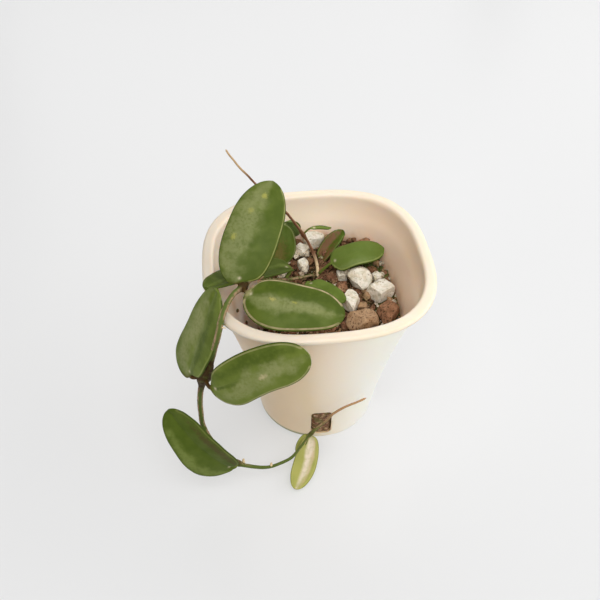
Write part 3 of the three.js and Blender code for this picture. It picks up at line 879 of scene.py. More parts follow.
@dataclass(frozen=True)
class Chip:
    """A broken stone: a ball cut flat by random planes, pitted and roughened.

    A blocky one is also cut by the six sides of a tilted box. Each row of pits gives their width in mm and
    their weight, and each row of lumps also their seed.
    """

    at: Triple
    size: Triple
    seed: int
    rough: float = 0.085
    facets: int = 11
    cuts: tuple[float, float] = (0.58, 0.8)
    growth: float = 1.13
    blocky: bool = False
    box: tuple[float, float] = (0.6, 0.72)
    box_lean: float = 0.25
    box_room: float = 0.14
    pits: tuple[tuple[float, float], ...] = ((1.6, 1.0), (0.8, 0.6))
    pit_from: float = 0.12
    pit_depth: float = 2.6
    pit_tone: float = 2.2
    lumps: tuple[Triple, ...] = ((2.6, 0.8, 1.0), (0.9, 0.5, 2.0))

    def shape(self, skin: Skin, levels: int, **told: float) -> None:
        """Add the stone to a skin.

        Args:
            skin: The mesh in the making.
            levels: How finely the ball is divided.
            told: Values that every point of it gets.
        """
        planes = self.planes()
        ball = bmesh.new()
        bmesh.ops.create_icosphere(ball, subdivisions=levels, radius=1.0)
        at, size = Vector(self.at), Vector(self.size)
        first = len(skin.points)
        for corner in ball.verts:
            way = corner.co.normalized()
            cuts = [reach / way.dot(normal) for normal, reach in planes if way.dot(normal) > 0]
            body = Vector([a * b * self.growth for a, b in zip(way * min([1.0, *cuts]), size)])
            spot = at + body
            waves = [(weight, ripple(spot, width, self.seed)) for width, weight in self.pits]
            pits = sum(weight * max(0.0, wave - self.pit_from) for weight, wave in waves)
            lumps = sum(weight * ripple(spot, width, seed) for width, weight, seed in self.lumps)
            place = spot - way * (self.pit_depth * self.rough * pits - self.rough * lumps)
            skin.point(place, hollow=min(1.0, self.pit_tone * pits), **told)
        skin.faces += [tuple(first + corner.index for corner in face.verts) for face in ball.faces]
        ball.free()

    def planes(self) -> list[tuple[Vector, float]]:
        """Draw the planes that cut the ball: each one's direction and its distance from the middle."""
        planes = []
        for facet in range(self.facets):
            tilt = mix(-1, 1, draw(self.seed, 3 * facet + 1))
            turn = draw(self.seed, 3 * facet + 2) * 2 * math.pi
            flat = math.sqrt(1 - tilt * tilt)
            normal = Vector((flat * math.cos(turn), flat * math.sin(turn), tilt))
            reach = mix(*self.cuts, draw(self.seed, 3 * facet + 3)) + self.box_room * self.blocky
            planes.append((normal, reach))
        if self.blocky:
            box = Matrix.Rotation(draw(self.seed, 60), 3, "Z")
            box = box @ Matrix.Rotation(self.box_lean * draw(self.seed, 61), 3, "X")
            for axis, side in ((axis, side) for axis in range(3) for side in (-1, 1)):
                planes.append((box.col[axis] * side, mix(*self.box, draw(self.seed, 62 + 2 * axis + side))))
        return planes


@dataclass
class Stone:
    """A loose stone that lies on the mix."""

    name: str
    chip: Chip
    levels: int = 6

    def build(self, material: bpy.types.Material, slot: Slot) -> None:
        """Make the stone and dress it.

        Args:
            material: Its finish.
            slot: The record's slot of that finish.
        """
        skin = Skin()
        self.chip.shape(skin, self.levels)
        dress(skin.make(f"{self.name}_stone"), material, slot, self.name)


@dataclass
class PottingMix:
    """The mix that fills the pot: a rough bed with crumbs strewn over it.

    Each row of lumps gives their width and height in mm and their seed.
    """

    pot: Pot
    level: float = 57.0
    back_rise: float = 6.0
    front_drop: float = 3.0
    slump: float = 33.0
    slump_edge: float = 12.8
    slump_run: float = 10.0
    ripple_height: float = 0.5
    gap: float = 0.3
    start: float = 2.1
    foot: float = 24.6
    sunk: float = 0.6
    dents: float = 0.6
    window_bulge: float = 1.7
    sides: int = 180
    rings: int = 64
    grain_count: int = 32
    grain_small: float = 1.2
    grain_large: float = 2.4
    grain_sink: float = 0.35
    grain_spread: float = 0.86
    grain_seed: int = 11
    crumb_spacing: float = 0.9
    crumb_small: float = 0.35
    crumb_large: float = 1.15
    crumbs_most: float = 1.2e6
    crumb_seed: int = 5
    chance_seeds: tuple[int, int] = (3, 8)
    chips_near_wall: float = 0.25
    lumps: tuple[Triple, ...] = ((5.0, 0.9, 0.0), (2.3, 0.75, 1.0), (1.1, 0.4, 2.0))
    stretches: tuple[Triple, ...] = (
        (1, 1, 1), (1.2, 0.8, 0.7), (1.5, 0.7, 0.45), (1.0, 0.9, 0.8), (1.9, 0.35, 0.3)
    )

    def top(self, x: float, y: float) -> float:
        """Give the height of the smoothed mix at a place.

        Args:
            x: The place's distance to the right, in mm.
            y: Its distance to the back, in mm.

        Returns:
            The height in mm.
        """
        rise = self.back_rise * smooth((y - 5) / 30) - self.front_drop * smooth((-y - 5) / 25)
        low = self.slump * smooth((-x - self.slump_edge) / self.slump_run)
        waves = self.ripple_height * (math.sin(0.9 * x + 0.4 * y) + math.sin(0.8 * y - 0.3 * x))
        return self.level + rise - low + waves

    def wet(self, place: Vector) -> float:
        """Give how mossy a place is: along the right wall and in a few spots."""
        return 0.85 * smooth((place.x - 17) / 12) * smooth((place.y + 14) / 10) + 0.12

    def inner(self, turn: float, share: float, level: float) -> Vector:
        """Give a place just inside the pot's wall, drawn towards the middle where the share is below 1."""
        half = self.pot.wall_at(level) - self.pot.wall - self.gap
        return self.pot.edge(turn, half * share, level)

    def bed_point(self, skin: Skin, place: Vector, tone: float, bare: float) -> int:
        """Add a point of the bed with its tone, and 1 for bare where crumbs may lie."""
        return skin.point(place, tone=tone, wet=self.wet(place) if bare else 0.5, bare=bare)

    def bed(self) -> bpy.types.Object:
        """Make the bed: a closed body with a lumpy top and sides just inside the pot's wall."""
        skin = Skin()
        rings = []
        for level in (self.start, *np.linspace(3.2, 26, 26), 40.0):
            ring = []
            for turn in turns(self.sides):
                high = self.inner(turn, 1.0, level)
                low = min(level, self.top(high.x, high.y) - 1.5)
                place = self.inner(turn, 1.0, low) if level > 3 else self.pot.edge(turn, self.foot, level)
                dent = 0.5 * (1 + ripple(place, 2.2)) * self.dents
                dent -= self.window_bulge * self.pot.window_share(place)
                tone = 0.72 + 0.3 * ripple(place, 1.2, 2.0)
                place -= Vector((place.x, place.y, 0.0)).normalized() * dent
                ring.append(self.bed_point(skin, place, tone, 0.0))
            rings.append(ring)
        for number in range(self.rings):
            share = 1 - number / self.rings
            ring = []
            for turn in turns(self.sides):
                guess = self.inner(turn, share, 45.0)
                place = self.inner(turn, share, min(60.0, self.top(guess.x, guess.y)))
                ground = self.top(place.x, place.y)
                place.z = 0.0
                lump = sum(high * ripple(place, width, seed) for width, high, seed in self.lumps)
                place.z = ground - self.sunk + lump
                ring.append(self.bed_point(skin, place, 0.42 + 0.15 * lump + 0.12 * math.sin(turn * 7), 1.0))
            rings.append(ring)
        skin.loft(rings)
        base, crest = Vector((0, 0, self.start)), Vector((0, 0, self.top(0, 0) - self.sunk))
        skin.cap(rings[0], self.bed_point(skin, base, 0.3, 0.0), turned=True)
        skin.cap(rings[-1], self.bed_point(skin, crest, 0.3, 1.0))
        return skin.make("mix_bed")

    def crumb_shapes(self) -> bpy.types.Collection:
        """Make the collection of small crumb shapes, each of a few dozen faces and about 1 mm in radius."""
        shapes = bpy.data.collections.new("crumb_shapes")
        for number, stretch in enumerate(self.stretches):
            skin = Skin()
            rings = []
            for row in range(1, 4):
                polar = math.pi * row / 4
                ring = []
                for step in range(6):
                    angle = 2 * math.pi * (step + 0.5 * row) / 6
                    wide = math.sin(polar)
                    way = Vector((wide * math.cos(angle), wide * math.sin(angle), -math.cos(polar)))
                    size = 0.72 + 0.4 * draw(31 + number, 10 * row + step)
                    ring.append(skin.point(Vector([a * b * size for a, b in zip(way, stretch)])))
                rings.append(ring)
            skin.loft(rings)
            skin.cap(rings[0], skin.point(Vector((0, 0, -0.8 * stretch[2]))), turned=True)
            skin.cap(rings[-1], skin.point(Vector((0, 0, 0.8 * stretch[2]))))
            crumb = skin.make(f"crumb_{number}", 30)
            bpy.context.scene.collection.objects.unlink(crumb)
            shapes.objects.link(crumb)
        return shapes

    def strewing(self) -> bpy.types.NodeTree:
        """Build the tree that strews crumbs over a surface, each with its own size, turn and tone."""
        tree = bpy.data.node_groups.new("strewn_crumbs", "GeometryNodeTree")
        sockets = {
            "Surface": "Geometry", "Spacing": "Float", "Most per square metre": "Float", "Smallest": "Float",
            "Largest": "Float", "Shapes": "Collection", "Seed": "Int", "Material": "Material",
        }
        for name, kind in sockets.items():
            tree.interface.new_socket(name, in_out="INPUT", socket_type=f"NodeSocket{kind}")
        tree.interface.new_socket("Crumbs", in_out="OUTPUT", socket_type="NodeSocketGeometry")
        given = add(tree, "NodeGroupInput").node.outputs
        bare = add(tree, "GeometryNodeInputNamedAttribute", {"data_type": "FLOAT"}, {"Name": "bare"})
        strew = {"Mesh": given["Surface"], "Distance Min": given["Spacing"], "Density Factor": bare,
                 "Density Max": given["Most per square metre"], "Seed": given["Seed"]}
        points = add(tree, "GeometryNodeDistributePointsOnFaces", {"distribute_method": "POISSON"}, strew)
        folded = {"Separate Children": True, "Reset Children": True, "Collection": given["Shapes"]}
        shapes = add(tree, "GeometryNodeCollectionInfo", {}, folded)
        swing = {"Min": (0, 0, 0), "Max": (6.283, 6.283, 6.283), "Seed": given["Seed"]}
        turn = add(tree, "FunctionNodeRandomValue", {"data_type": "FLOAT_VECTOR"}, swing)
        ranges = [{"Min": 0.0, "Max": 1.0, "Seed": seed} for seed in self.chance_seeds]
        chance, tone = (add(tree, "FunctionNodeRandomValue", {"data_type": "FLOAT"}, span) for span in ranges)
        rare = add(tree, MATH, {"operation": "POWER"}, {0: chance, 1: 2.6})
        size = add(tree, RANGE, {}, {"Value": rare, "To Min": given["Smallest"], "To Max": given["Largest"]})
        placed = {
            "Points": points, "Instance": shapes, "Pick Instance": True, "Rotation": turn, "Scale": size
        }
        crumbs = add(tree, "GeometryNodeInstanceOnPoints", {}, placed)
        told = {"Geometry": crumbs, "Name": "tone", "Value": tone}
        each = {"data_type": "FLOAT", "domain": "INSTANCE"}
        toned = add(tree, "GeometryNodeStoreNamedAttribute", each, told)
        real = add(tree, "GeometryNodeRealizeInstances", {}, {"Geometry": toned})
        dressed = add(tree, "GeometryNodeSetMaterial", {}, {"Geometry": real, "Material": given["Material"]})
        add(tree, "NodeGroupOutput", {}, {"Crumbs": dressed})
        return tree

    def keep_inside(self, mesh: bpy.types.Mesh) -> np.ndarray:
        """Pull points that reach into the pot's wall back to its inner face.

        Args:
            mesh: The crumbs' mesh.

        Returns:
            All its points, in mm.
        """
        flat = np.empty(3 * len(mesh.vertices), np.float32)
        mesh.vertices.foreach_get("co", flat)
        places = flat.reshape(-1, 3) / MM
        reach = self.pot.span(*places.T)
        limit = self.pot.wall_at(places[:, 2]) - self.pot.wall + 0.1
        places[:, :2] *= np.minimum(1.0, limit / np.maximum(reach, 1e-6))[:, None]
        mesh.vertices.foreach_set("co", (places * MM).ravel())
        mesh.update()
        return places

    def strew(self, surface: bpy.types.Object, material: bpy.types.Material) -> bpy.types.Object:
        """Strew crumbs over the bed and give them back as one plain mesh.

        Args:
            surface: The bed.
            material: The finish of the crumbs.

        Returns:
            The crumbs' object.
        """
        carrier = link(bpy.data.objects.new("mix_crumbs", surface.data.copy()))
        tree = self.strewing()
        modifier = carrier.modifiers.new("strewn", "NODES")
        modifier.node_group = tree
        wanted = {
            "Spacing": self.crumb_spacing * MM, "Most per square metre": self.crumbs_most,
            "Smallest": self.crumb_small, "Largest": self.crumb_large, "Shapes": self.crumb_shapes(),
            "Seed": self.crumb_seed, "Material": material,
        }
        for item in tree.interface.items_tree:
            if item.in_out == "INPUT" and item.name in wanted:
                modifier[item.identifier] = wanted[item.name]
        bake_modifiers(carrier)
        bpy.data.node_groups.remove(tree)
        places = [Vector(place) for place in self.keep_inside(carrier.data)]
        layers = carrier.data.attributes
        damp = layers["wet"] if "wet" in layers else layers.new("wet", "FLOAT", "POINT")
        damp.data.foreach_set("value", [self.wet(place) for place in places])
        lighter = [self.chips_near_wall * smooth((place.x - 16) / 10) for place in places]
        tones = np.empty(len(places), np.float32)
        layers["tone"].data.foreach_get("value", tones)
        layers["tone"].data.foreach_set("value", np.minimum(1.0, tones + np.array(lighter)))
        return carrier

    def drawn_in(self, at: Sequence[float], room: float) -> Triple:
        """Give a place, drawn in towards the pot's middle until it has this much room to the wall, in mm."""
        x, y, z = at
        share = min(1.0, (self.pot.wall_at(z) - self.pot.wall - room) / self.pot.span(x, y, z))
        return (x * share, y * share, z)

    def grains(self) -> bpy.types.Object:
        """Make the coarse grains that stand half sunk in the mix."""
        skin = Skin()
        for number in range(self.grain_count):
            reach, turn, size = (draw(self.grain_seed, 4 * number + part) for part in (1, 2, 3))
            radius = mix(self.grain_small, self.grain_large, size)
            half = self.pot.wall_at(self.level) - self.pot.wall - self.gap - self.grain_large
            half *= self.grain_spread * math.sqrt(reach)
            edge = self.pot.ring(half, self.level, 360)[int(turn * 360)]
            place = Vector((edge.x, edge.y, self.top(edge.x, edge.y) + self.grain_sink * radius))
            tone = mix(0.4, 1.0, draw(self.grain_seed, 4 * number + 4))
            at = self.drawn_in(place, 1.25 * radius)
            chip = Chip(at, (radius, radius, radius), self.grain_seed + number)
            chip.shape(skin, 4, tone=tone, wet=0.5 * self.wet(place))
        return skin.make("mix_grains")

    def loose_chips(self) -> bpy.types.Object:
        """Make the single chips that the photo shows on the mix, as one piece."""
        skin = Skin()
        for number, (at, size, tone) in enumerate(LOOSE_CHIPS):
            chip = Chip(self.drawn_in(at, 1.2 * max(size)), size, 60 + number, rough=0.16)
            chip.shape(skin, 4, tone=tone, wet=0.15)
        for number, at in enumerate(WALL_CRUMBS):
            chip = Chip(self.drawn_in(at, 0.6), (0.6, 0.9, 0.7), 90 + number)
            chip.shape(skin, 4, tone=0.5, wet=0.8)
        return skin.make("mix_chips")

    def build(self) -> None:
        """Make the bed, its coarse grains, its single chips and its crumbs and dress them."""
        material = DampMix("damp_potting_mix").material()
        bed = self.bed()
        crumbs = self.strew(bed, material)
        dress(bed, material, Slot.MIX, "soil")
        for piece in (self.grains(), self.loose_chips(), crumbs):
            dress(piece, material, Slot.MIX)


# The stems


@dataclass(frozen=True)
class Nub:
    """A short root nub on a stem."""

    at: Triple
    way: Triple
    length: float
    radius: float


@dataclass(frozen=True)
class Joint:
    """A joint of a stem, where it swells and its skin is dark.

    Attributes:
        at: Its place in mm.
        swell: What it adds to the radius, in mm.
        reach: How far the swelling runs along the stem, in mm.
        dark: How dark its skin is, from 0 to 1.
        dark_reach: How far the dark skin runs, in mm.
    """

    at: Triple
    swell: float = 0.4
    reach: float = 1.8
    dark: float = 0.6
    dark_reach: float = 1.5


@dataclass
class Stem:
    """A soft stem along a path: it tapers, swells at its joints and carries a few root nubs.

    Its girth is a list of pairs, each a share of its length and the radius there in mm.
    """

    name: str
    points: tuple[Triple, ...]
    joints: tuple[Joint, ...]
    girth: tuple[tuple[float, float], ...]
    stations: int
    nubs: tuple[Nub, ...] = ()
    pale_below: float = 0.0
    knobs: float = 0.09
    ribs: float = 0.05
    sides: int = 16

    def radius(self, place: Vector, share: float) -> float:
        """Give the stem's radius at a place on its path."""
        radius = float(np.interp(share, *zip(*self.girth)))
        gaps = [(place - Vector(joint.at)).length / joint.reach for joint in self.joints]
        return radius + sum(joint.swell * bell(gap) for joint, gap in zip(self.joints, gaps))

    def dark(self, place: Vector) -> float:
        """Give how dark the stem's skin is at a place on its path, from 0 to 1."""
        gaps = [(place - Vector(joint.at)).length / joint.dark_reach for joint in self.joints]
        return min(1.0, sum(joint.dark * bell(gap) for joint, gap in zip(self.joints, gaps)))

    def tube(self, skin: Skin, centres: Sequence[Vector], radii: Sequence[float],
             values: Sequence[dict[str, float]]) -> None:
        """Add a closed round tube to a skin.

        Args:
            skin: The mesh in the making.
            centres: The tube's middle line.
            radii: Its radius at each centre.
            values: The attributes of each ring.
        """
        up = Vector((0.31, 0.17, 0.93))
        rings = []
        last = len(centres) - 1
        for step, (centre, radius, told) in enumerate(zip(centres, radii, values)):
            ahead = (centres[min(step + 1, last)] - centres[max(step - 1, 0)]).normalized()
            up = (up - ahead * up.dot(ahead)).normalized()
            side = ahead.cross(up)
            ring = []
            for angle in turns(self.sides):
                way = side * math.cos(angle) + up * math.sin(angle)
                knobs = 1 + self.knobs * ripple(centre + way * radius, 1.1)
                knobs += self.ribs * math.sin(5 * angle + step * 0.02)
                streak = smooth((abs(way.x) - 0.35) / 0.35)
                ring.append(skin.point(centre + way * (radius * knobs), streak=streak, **told))
            rings.append(ring)
        skin.loft(rings, turned=True)
        skin.cap(rings[0], skin.point(centres[0], streak=0.0, **values[0]))
        tip = centres[-1] + (centres[-1] - centres[-2]).normalized() * radii[-1] * 0.4
        skin.cap(rings[-1], skin.point(tip, streak=0.0, **values[-1]), turned=True)

    def build(self, finish: Bark, slot: Slot) -> None:
        """Make the stem with its nubs and dress it.

        Args:
            finish: Its skin.
            slot: The record's slot of that skin.
        """
        skin = Skin()
        centres = Path.through(self.points).even(self.stations)
        radii, values = [], []
        for step, centre in enumerate(centres):
            share = step / (self.stations - 1)
            end = min(1.0, (self.stations - 1 - step) / 3 + 0.35)
            radii.append(self.radius(centre, share) * end)
            pale = smooth((self.pale_below - centre.z) / 5)
            values.append({"along": share, "joint": self.dark(centre), "pale": pale})
        self.tube(skin, centres, radii, values)
        for nub in self.nubs:
            way = Vector(nub.way).normalized()
            line = [Vector(nub.at) + way * (nub.length * step / 6) for step in range(7)]
            sizes = [nub.radius * (1 - 0.45 * step / 6) for step in range(7)]
            self.tube(skin, line, sizes, [{"along": 0.0, "joint": 0.0, "pale": 1.0}] * 7)
        dress(skin.make(f"{self.name}_stem"), finish.material(), slot, self.name)


# The leaves


@dataclass(frozen=True)
class Lobe:
    """A bulge of a leaf's outline.

    Attributes:
        side: Which edge it is on, -1 or 1.
        at: Its middle as a share of the blade's length.
        reach: Half its length as the same share.
        growth: The share that it adds to half the width, negative for a hollow.
    """

    side: int
    at: float
    reach: float
    growth: float


@dataclass
class Leaf:
    """A thick oval leaf on a short stalk, along a path from its joint to its tip."""

    name: str
    attach: Triple
    base: Triple
    middle: Triple
    tip: Triple
    faces: Triple
    width: float
    fold: float
    finish: WaxyLeaf
    slot: Slot
    roundness: float = 2.5
    petiole: float = 1.0
    stalk_radius: float = 0.75
    thickness: float = 1.3
    edge_radius: float = 0.34
    breadth: float = 1.02
    lobes: tuple[Lobe, ...] = ()
    groove: float = 0.3
    groove_width: float = 0.8
    dish: float = 0.2
    dish_width: float = 2.6
    waves: float = 0.2
    ripples: float = 0.07
    rolled: float = 0.3
    full_from: float = 4.5
    gland_at: float = 2.0
    stations: int = 88
    stalk_stations: int = 9
    splits: int = 36

    def rows(self) -> list[tuple[float, float]]:
        """Give each row's share of the whole path and of the blade, in closer steps at the blade's ends."""
        stalk = [(step / (3 * self.stalk_stations), 0.0) for step in range(self.stalk_stations)]
        shares = [0.5 - 0.5 * math.cos(math.pi * step / self.stations) for step in range(self.stations)]
        return stalk + [((1 + 2 * share) / 3, share) for share in shares]

    def half(self, share: float, side: float) -> float:
        """Give half the blade's width, slightly uneven on its two sides.

        Args:
            share: Where along the blade, from 0 to 1.
            side: Which edge, -1 or 1.

        Returns:
            Half the width there, in mm.
        """
        oval = math.sqrt(max(0.0, 1 - abs(2 * share - 1) ** self.roundness))
        wave = noise.noise(Vector((share * 3.2, side * 2.0, self.width + self.fold)))
        here = [lobe for lobe in self.lobes if lobe.side == side]
        bulge = sum(lobe.growth * bell((share - lobe.at) / lobe.reach) for lobe in here)
        wavy = 0.025 * wave * smooth(share * 6) * smooth((1 - share) * 6)
        return self.width / 2 * self.breadth * oval * (1 + bulge + wavy)

    def build(self) -> None:
        """Make the leaf and dress it."""
        path = Path.through((self.attach, self.base, self.middle, self.tip))
        stalk = self.stalk_radius * self.petiole
        faces = Vector(self.faces)
        across = [math.sin(math.pi / 2 * (2 * step / self.splits - 1)) for step in range(self.splits + 1)]
        frames, flat, opens = [], [], []
        run, previous = 0.0, path.at(0.0)
        for place, share in self.rows():
            centre, ahead = path.at(place), path.along(place)
            run += (centre - previous).length
            previous = centre
            side = ahead.cross(faces).normalized()
            halves = [max(stalk * (1 - share), self.half(share, math.copysign(1, c))) for c in across]
            opening = smooth((max(halves) - stalk) / (self.width / 4)) if place >= 1 / 3 else 0.0
            frames.append((centre, side, side.cross(ahead), share, run))
            flat.append([(c * half, run) for c, half in zip(across, halves)])
            opens.append(opening)
        flat = np.array(flat)
        blade = flat[self.stalk_stations:]
        rim = np.concatenate([blade[:, 0], blade[:, -1], [[0.0, run + 0.02]]])
        gaps = np.linalg.norm(flat[:, :, None, :] - rim[None, None, :, :], axis=3).min(axis=2)
        self.skin(frames, flat, gaps, opens, across, path.at(1.0), stalk)

    def skin(self, frames: list, flat: np.ndarray, gaps: np.ndarray, opens: list[float], across: list[float],
             end: Vector, stalk: float) -> None:
        """Make the two faces of the leaf from its flattened plan.

        Args:
            frames: Each row's centre, side, up, blade share and distance from the joint.
            flat: Each point's place across and along, in mm.
            gaps: Each point's distance from the blade's outline, in mm.
            opens: How far the blade has opened at each row, from 0 to 1.
            across: Each point's share across, from -1 to 1.
            end: The tip of the leaf.
            stalk: The stalk's radius in mm.
        """
        skin = Skin()
        rings = []
        base_run = frames[self.stalk_stations][4]
        for row, (centre, side, up, share, run) in enumerate(frames):
            opening = opens[row]
            upper, lower = [], []
            for column, c in enumerate(across):
                x, gap = flat[row, column, 0], gaps[row, column]
                rounded = math.sqrt(max(0.0, 1 - (1 - min(gap / self.edge_radius, 1)) ** 2))
                blade = self.edge_radius * rounded
                blade += (self.thickness / 2 - self.edge_radius) * smooth(gap / self.full_from)
                thick = mix(stalk * math.sqrt(max(0.0, 1 - c * c)), blade, opening)
                spot = Vector((x, run, self.width))
                crease = self.groove * bell(x / self.groove_width) + self.dish * bell(x / self.dish_width)
                waves = self.waves * ripple(spot, 6.0) + self.ripples * ripple(spot, 2.4)
                rolled = self.rolled * (1 - smooth(gap / 1.3))
                rise = opening * (self.fold * abs(x) * abs(c) ** 0.4 - rolled + waves)
                told = {
                    "across": c, "along": share, "edge": mix(3.0, gap, opening),
                    "gland": 0.9 * math.exp(-((x**2 + (run - base_run - self.gland_at) ** 2) / 0.28)),
                    "stalk": 1 - smooth((run - base_run + 0.6) / 1.8),
                }
                middle = centre + side * x + up * rise
                top = middle + up * (thick - opening * crease)
                upper.append(skin.point(top, under=0.0, **told))
                if 0 < column < len(across) - 1:
                    told["gland"] = 0.0
                    lower.append(skin.point(middle - up * thick, under=0.85 * smooth(gap / 0.8), **told))
            rings.append(upper + lower[::-1])
        skin.loft(rings)
        told = {"across": 0.0, "gland": 0.0, "under": 0.0}
        skin.cap(rings[0], skin.point(frames[0][0], along=0.0, edge=3.0, stalk=1.0, **told), turned=True)
        skin.cap(rings[-1], skin.point(end, along=1.0, edge=0.0, stalk=0.0, **told))
        dress(skin.make(f"{self.name}_blade"), self.finish.material(), self.slot, self.name)


# This plant's own sizes

JOINT_HIDDEN = (-12.5, 4.7, 68.0)
JOINT_RIM = (-29.8, -17.2, 86.0)
JOINT_HANGING = (-47.0, -35.4, 59.0)
JOINT_LOW = (-37.7, -43.7, 12.5)
JOINT_YOUNG = (-6.0, -32.1, 12.0)
JOINT_RUNNER = (-2.7, 25.5, 74.0)

VINE_POINTS = (
    (3.4, 21.5, 50), (1.4, 17.5, 57.5), (-5.7, 11.1, 62.6), JOINT_HIDDEN, (-19, -2.4, 75.4),
    (-25.3, -9.4, 83), JOINT_RIM, (-33.6, -23, 88), (-36.8, -29.2, 87.4), (-38.6, -33.4, 85), (-40, -36, 81),
    (-41.5, -35.8, 75.5), (-43.2, -35.4, 69), JOINT_HANGING, (-48.8, -35.2, 52), (-49.9, -35.3, 45),
    (-50.2, -36.2, 38), (-50.1, -36.8, 31), (-47.3, -39.1, 23), (-42.6, -41.3, 17), JOINT_LOW,
    (-32.1, -43.7, 9), (-25.5, -43.4, 7), (-19.9, -42, 7), (-15.1, -40.3, 8), (-10.8, -36.6, 10), JOINT_YOUNG,
    (-2.8, -30.7, 14.2), (0.8, -31.4, 19.4), (3.1, -32.3, 24.4), (7.9, -32.5, 28.6), (13.5, -31.2, 29.6),
    (17.2, -29.5, 29.4),
)
RUNNER_POINTS = (
    (2.6, 17.4, 52), (2.4, 16.2, 58), (2.6, 17.6, 60.8), (2.4, 20.4, 62.8), (1.2, 23.4, 66),
    (-0.7, 25.2, 70), JOINT_RUNNER, (-5.3, 25.3, 79), (-10, 26.6, 86), (-16.8, 26.5, 94), (-21.5, 27.6, 100),
    (-24.8, 28.9, 104), (-27.2, 29.9, 106.5), (-29.5, 32.1, 109), (-31.1, 33.1, 111), (-32.2, 34.5, 112.5),
)

PUMICE_STONES = (
    ((19.3, 9.6, 60.6), (5, 4.8, 4.6), 21), ((26.9, 1.6, 60.4), (5.4, 4.4, 4.4), 22),
    ((13.8, -2.4, 59.4), (3.2, 4.8, 4), 23), ((2.6, 32.1, 65), (5.4, 3.2, 4.4), 24),
    ((-3, 28.6, 63), (3, 2.6, 2.8), 25), ((-3.2, 21, 60.6), (2.6, 3, 2.8), 26),
    ((12.6, 14.2, 59), (2.6, 2.4, 2.4), 27), ((27.4, 11.6, 58.6), (2.4, 2.4, 2.4), 28),
    ((-8, -8, 57), (3.6, 3.2, 3.2), 29),
)
CLAY_STONES = (
    ((17.2, -12, 57.4), (6, 5.2, 5), 41), ((28.2, -8.6, 57.2), (4.8, 4.8, 4.8), 42),
    ((22.6, 25.8, 65), (5, 3.2, 3.6), 43), ((11.4, 6.6, 58), (2.6, 2.6, 2.6), 44),
    ((15.4, 22.4, 61.4), (3, 2.6, 2.6), 45), ((3.6, -11, 56.6), (4.4, 3.8, 3.6), 46),
)

WHITE_CHIP, BEIGE_CHIP, TAN_CHIP, BROWN_CHIP = 0.97, 0.84, 0.7, 0.55
LOOSE_CHIPS = (
    ((-4.6, 33, 64), (2.6, 1.8, 2), BROWN_CHIP), ((-6, 26, 62.6), (1.5, 3, 1.6), WHITE_CHIP),
    ((-1.9, 26.2, 62.4), (2.3, 2, 1.8), WHITE_CHIP), ((-2.8, 19.4, 60.6), (1.9, 2.6, 2), WHITE_CHIP),
    ((7.8, 14.2, 59), (2.3, 2.4, 1.9), BROWN_CHIP), ((12.2, 8.4, 58.6), (2.8, 1.9, 1.8), BROWN_CHIP),
    ((4.6, 17.4, 60), (1.6, 1.4, 1.4), BROWN_CHIP), ((-4.4, 22.6, 61.6), (1.3, 1.2, 1.2), BEIGE_CHIP),
    ((-7.4, 21.4, 61.4), (1.5, 1.3, 1.3), BROWN_CHIP), ((8.8, 11, 58.8), (1.2, 1.2, 1.1), TAN_CHIP),
    ((9.6, -8.6, 57.4), (1.4, 1.2, 1.1), TAN_CHIP), ((22.6, -5.4, 57.8), (1.3, 1.2, 1.2), BROWN_CHIP),
    ((25.8, 15.6, 59.4), (2.5, 2, 1.7), TAN_CHIP), ((29.6, 12.4, 59), (1.5, 1.6, 1.4), WHITE_CHIP),
    ((31.6, 19.2, 60.6), (1.3, 1.1, 1.2), WHITE_CHIP), ((30.6, 14, 59.2), (1.6, 1.3, 1.2), TAN_CHIP),
    ((30.4, -1.6, 58), (1.4, 1.4, 1.2), BEIGE_CHIP), ((31.6, -3.4, 58), (1.2, 1.3, 1.3), WHITE_CHIP),
    ((22.8, 31, 64), (1.8, 1.3, 1.4), BROWN_CHIP), ((27.4, 29.6, 63.4), (1.7, 1.3, 1.3), TAN_CHIP),
    ((30.6, 27, 63), (1.5, 1.3, 1.4), BROWN_CHIP), ((18.4, 31.4, 64), (1.6, 1.2, 1.3), TAN_CHIP),
    ((20.6, 31.8, 64.6), (1.2, 1, 1.1), TAN_CHIP), ((25.2, 30.8, 64.6), (1.3, 1, 1.1), BEIGE_CHIP),
    ((29.2, 28.6, 64), (1.1, 1, 1), BROWN_CHIP), ((32, 24.6, 62.4), (1.2, 1.2, 1.1), TAN_CHIP),
    ((-9.4, 17.6, 60.2), (1.6, 1.4, 1.4), TAN_CHIP), ((-6.6, 13.4, 59), (2, 1.5, 1.2), BROWN_CHIP),
    ((0, 22, 61.4), (1.7, 2.2, 1.5), BROWN_CHIP), ((28.4, 18.6, 60.4), (1.7, 1.5, 1.4), BEIGE_CHIP),
    ((21.4, 1.2, 58.4), (1.6, 2.2, 1.7), BEIGE_CHIP), ((23.8, 8.6, 58.4), (2, 1.7, 1.5), BROWN_CHIP),
    ((8.6, 32, 65), (3.2, 2.4, 2.4), BEIGE_CHIP), ((13.4, -9.4, 57.6), (1.5, 1.6, 1.3), BEIGE_CHIP),
    ((16.6, 15.4, 59.8), (1.6, 1.5, 1.5), WHITE_CHIP),
)
WALL_CRUMBS = ((-35, 3.8, 53.6), (-31.6, 9.3, 41), (-26.2, 16.5, 29))

# Silver is the leaves' silvery mottling together with a painted sheen, deep is a deeper green together with
# painted shade, and pale is a painted sheen.
SILVER_AND_SHEEN = "868A58"
PALE_SHEEN = "76823F"
DEEP_AND_SHADE = "435210"
PLUM = "7C5038"
FLECK = "ABA64C"
OLD_STALK = "47300F"


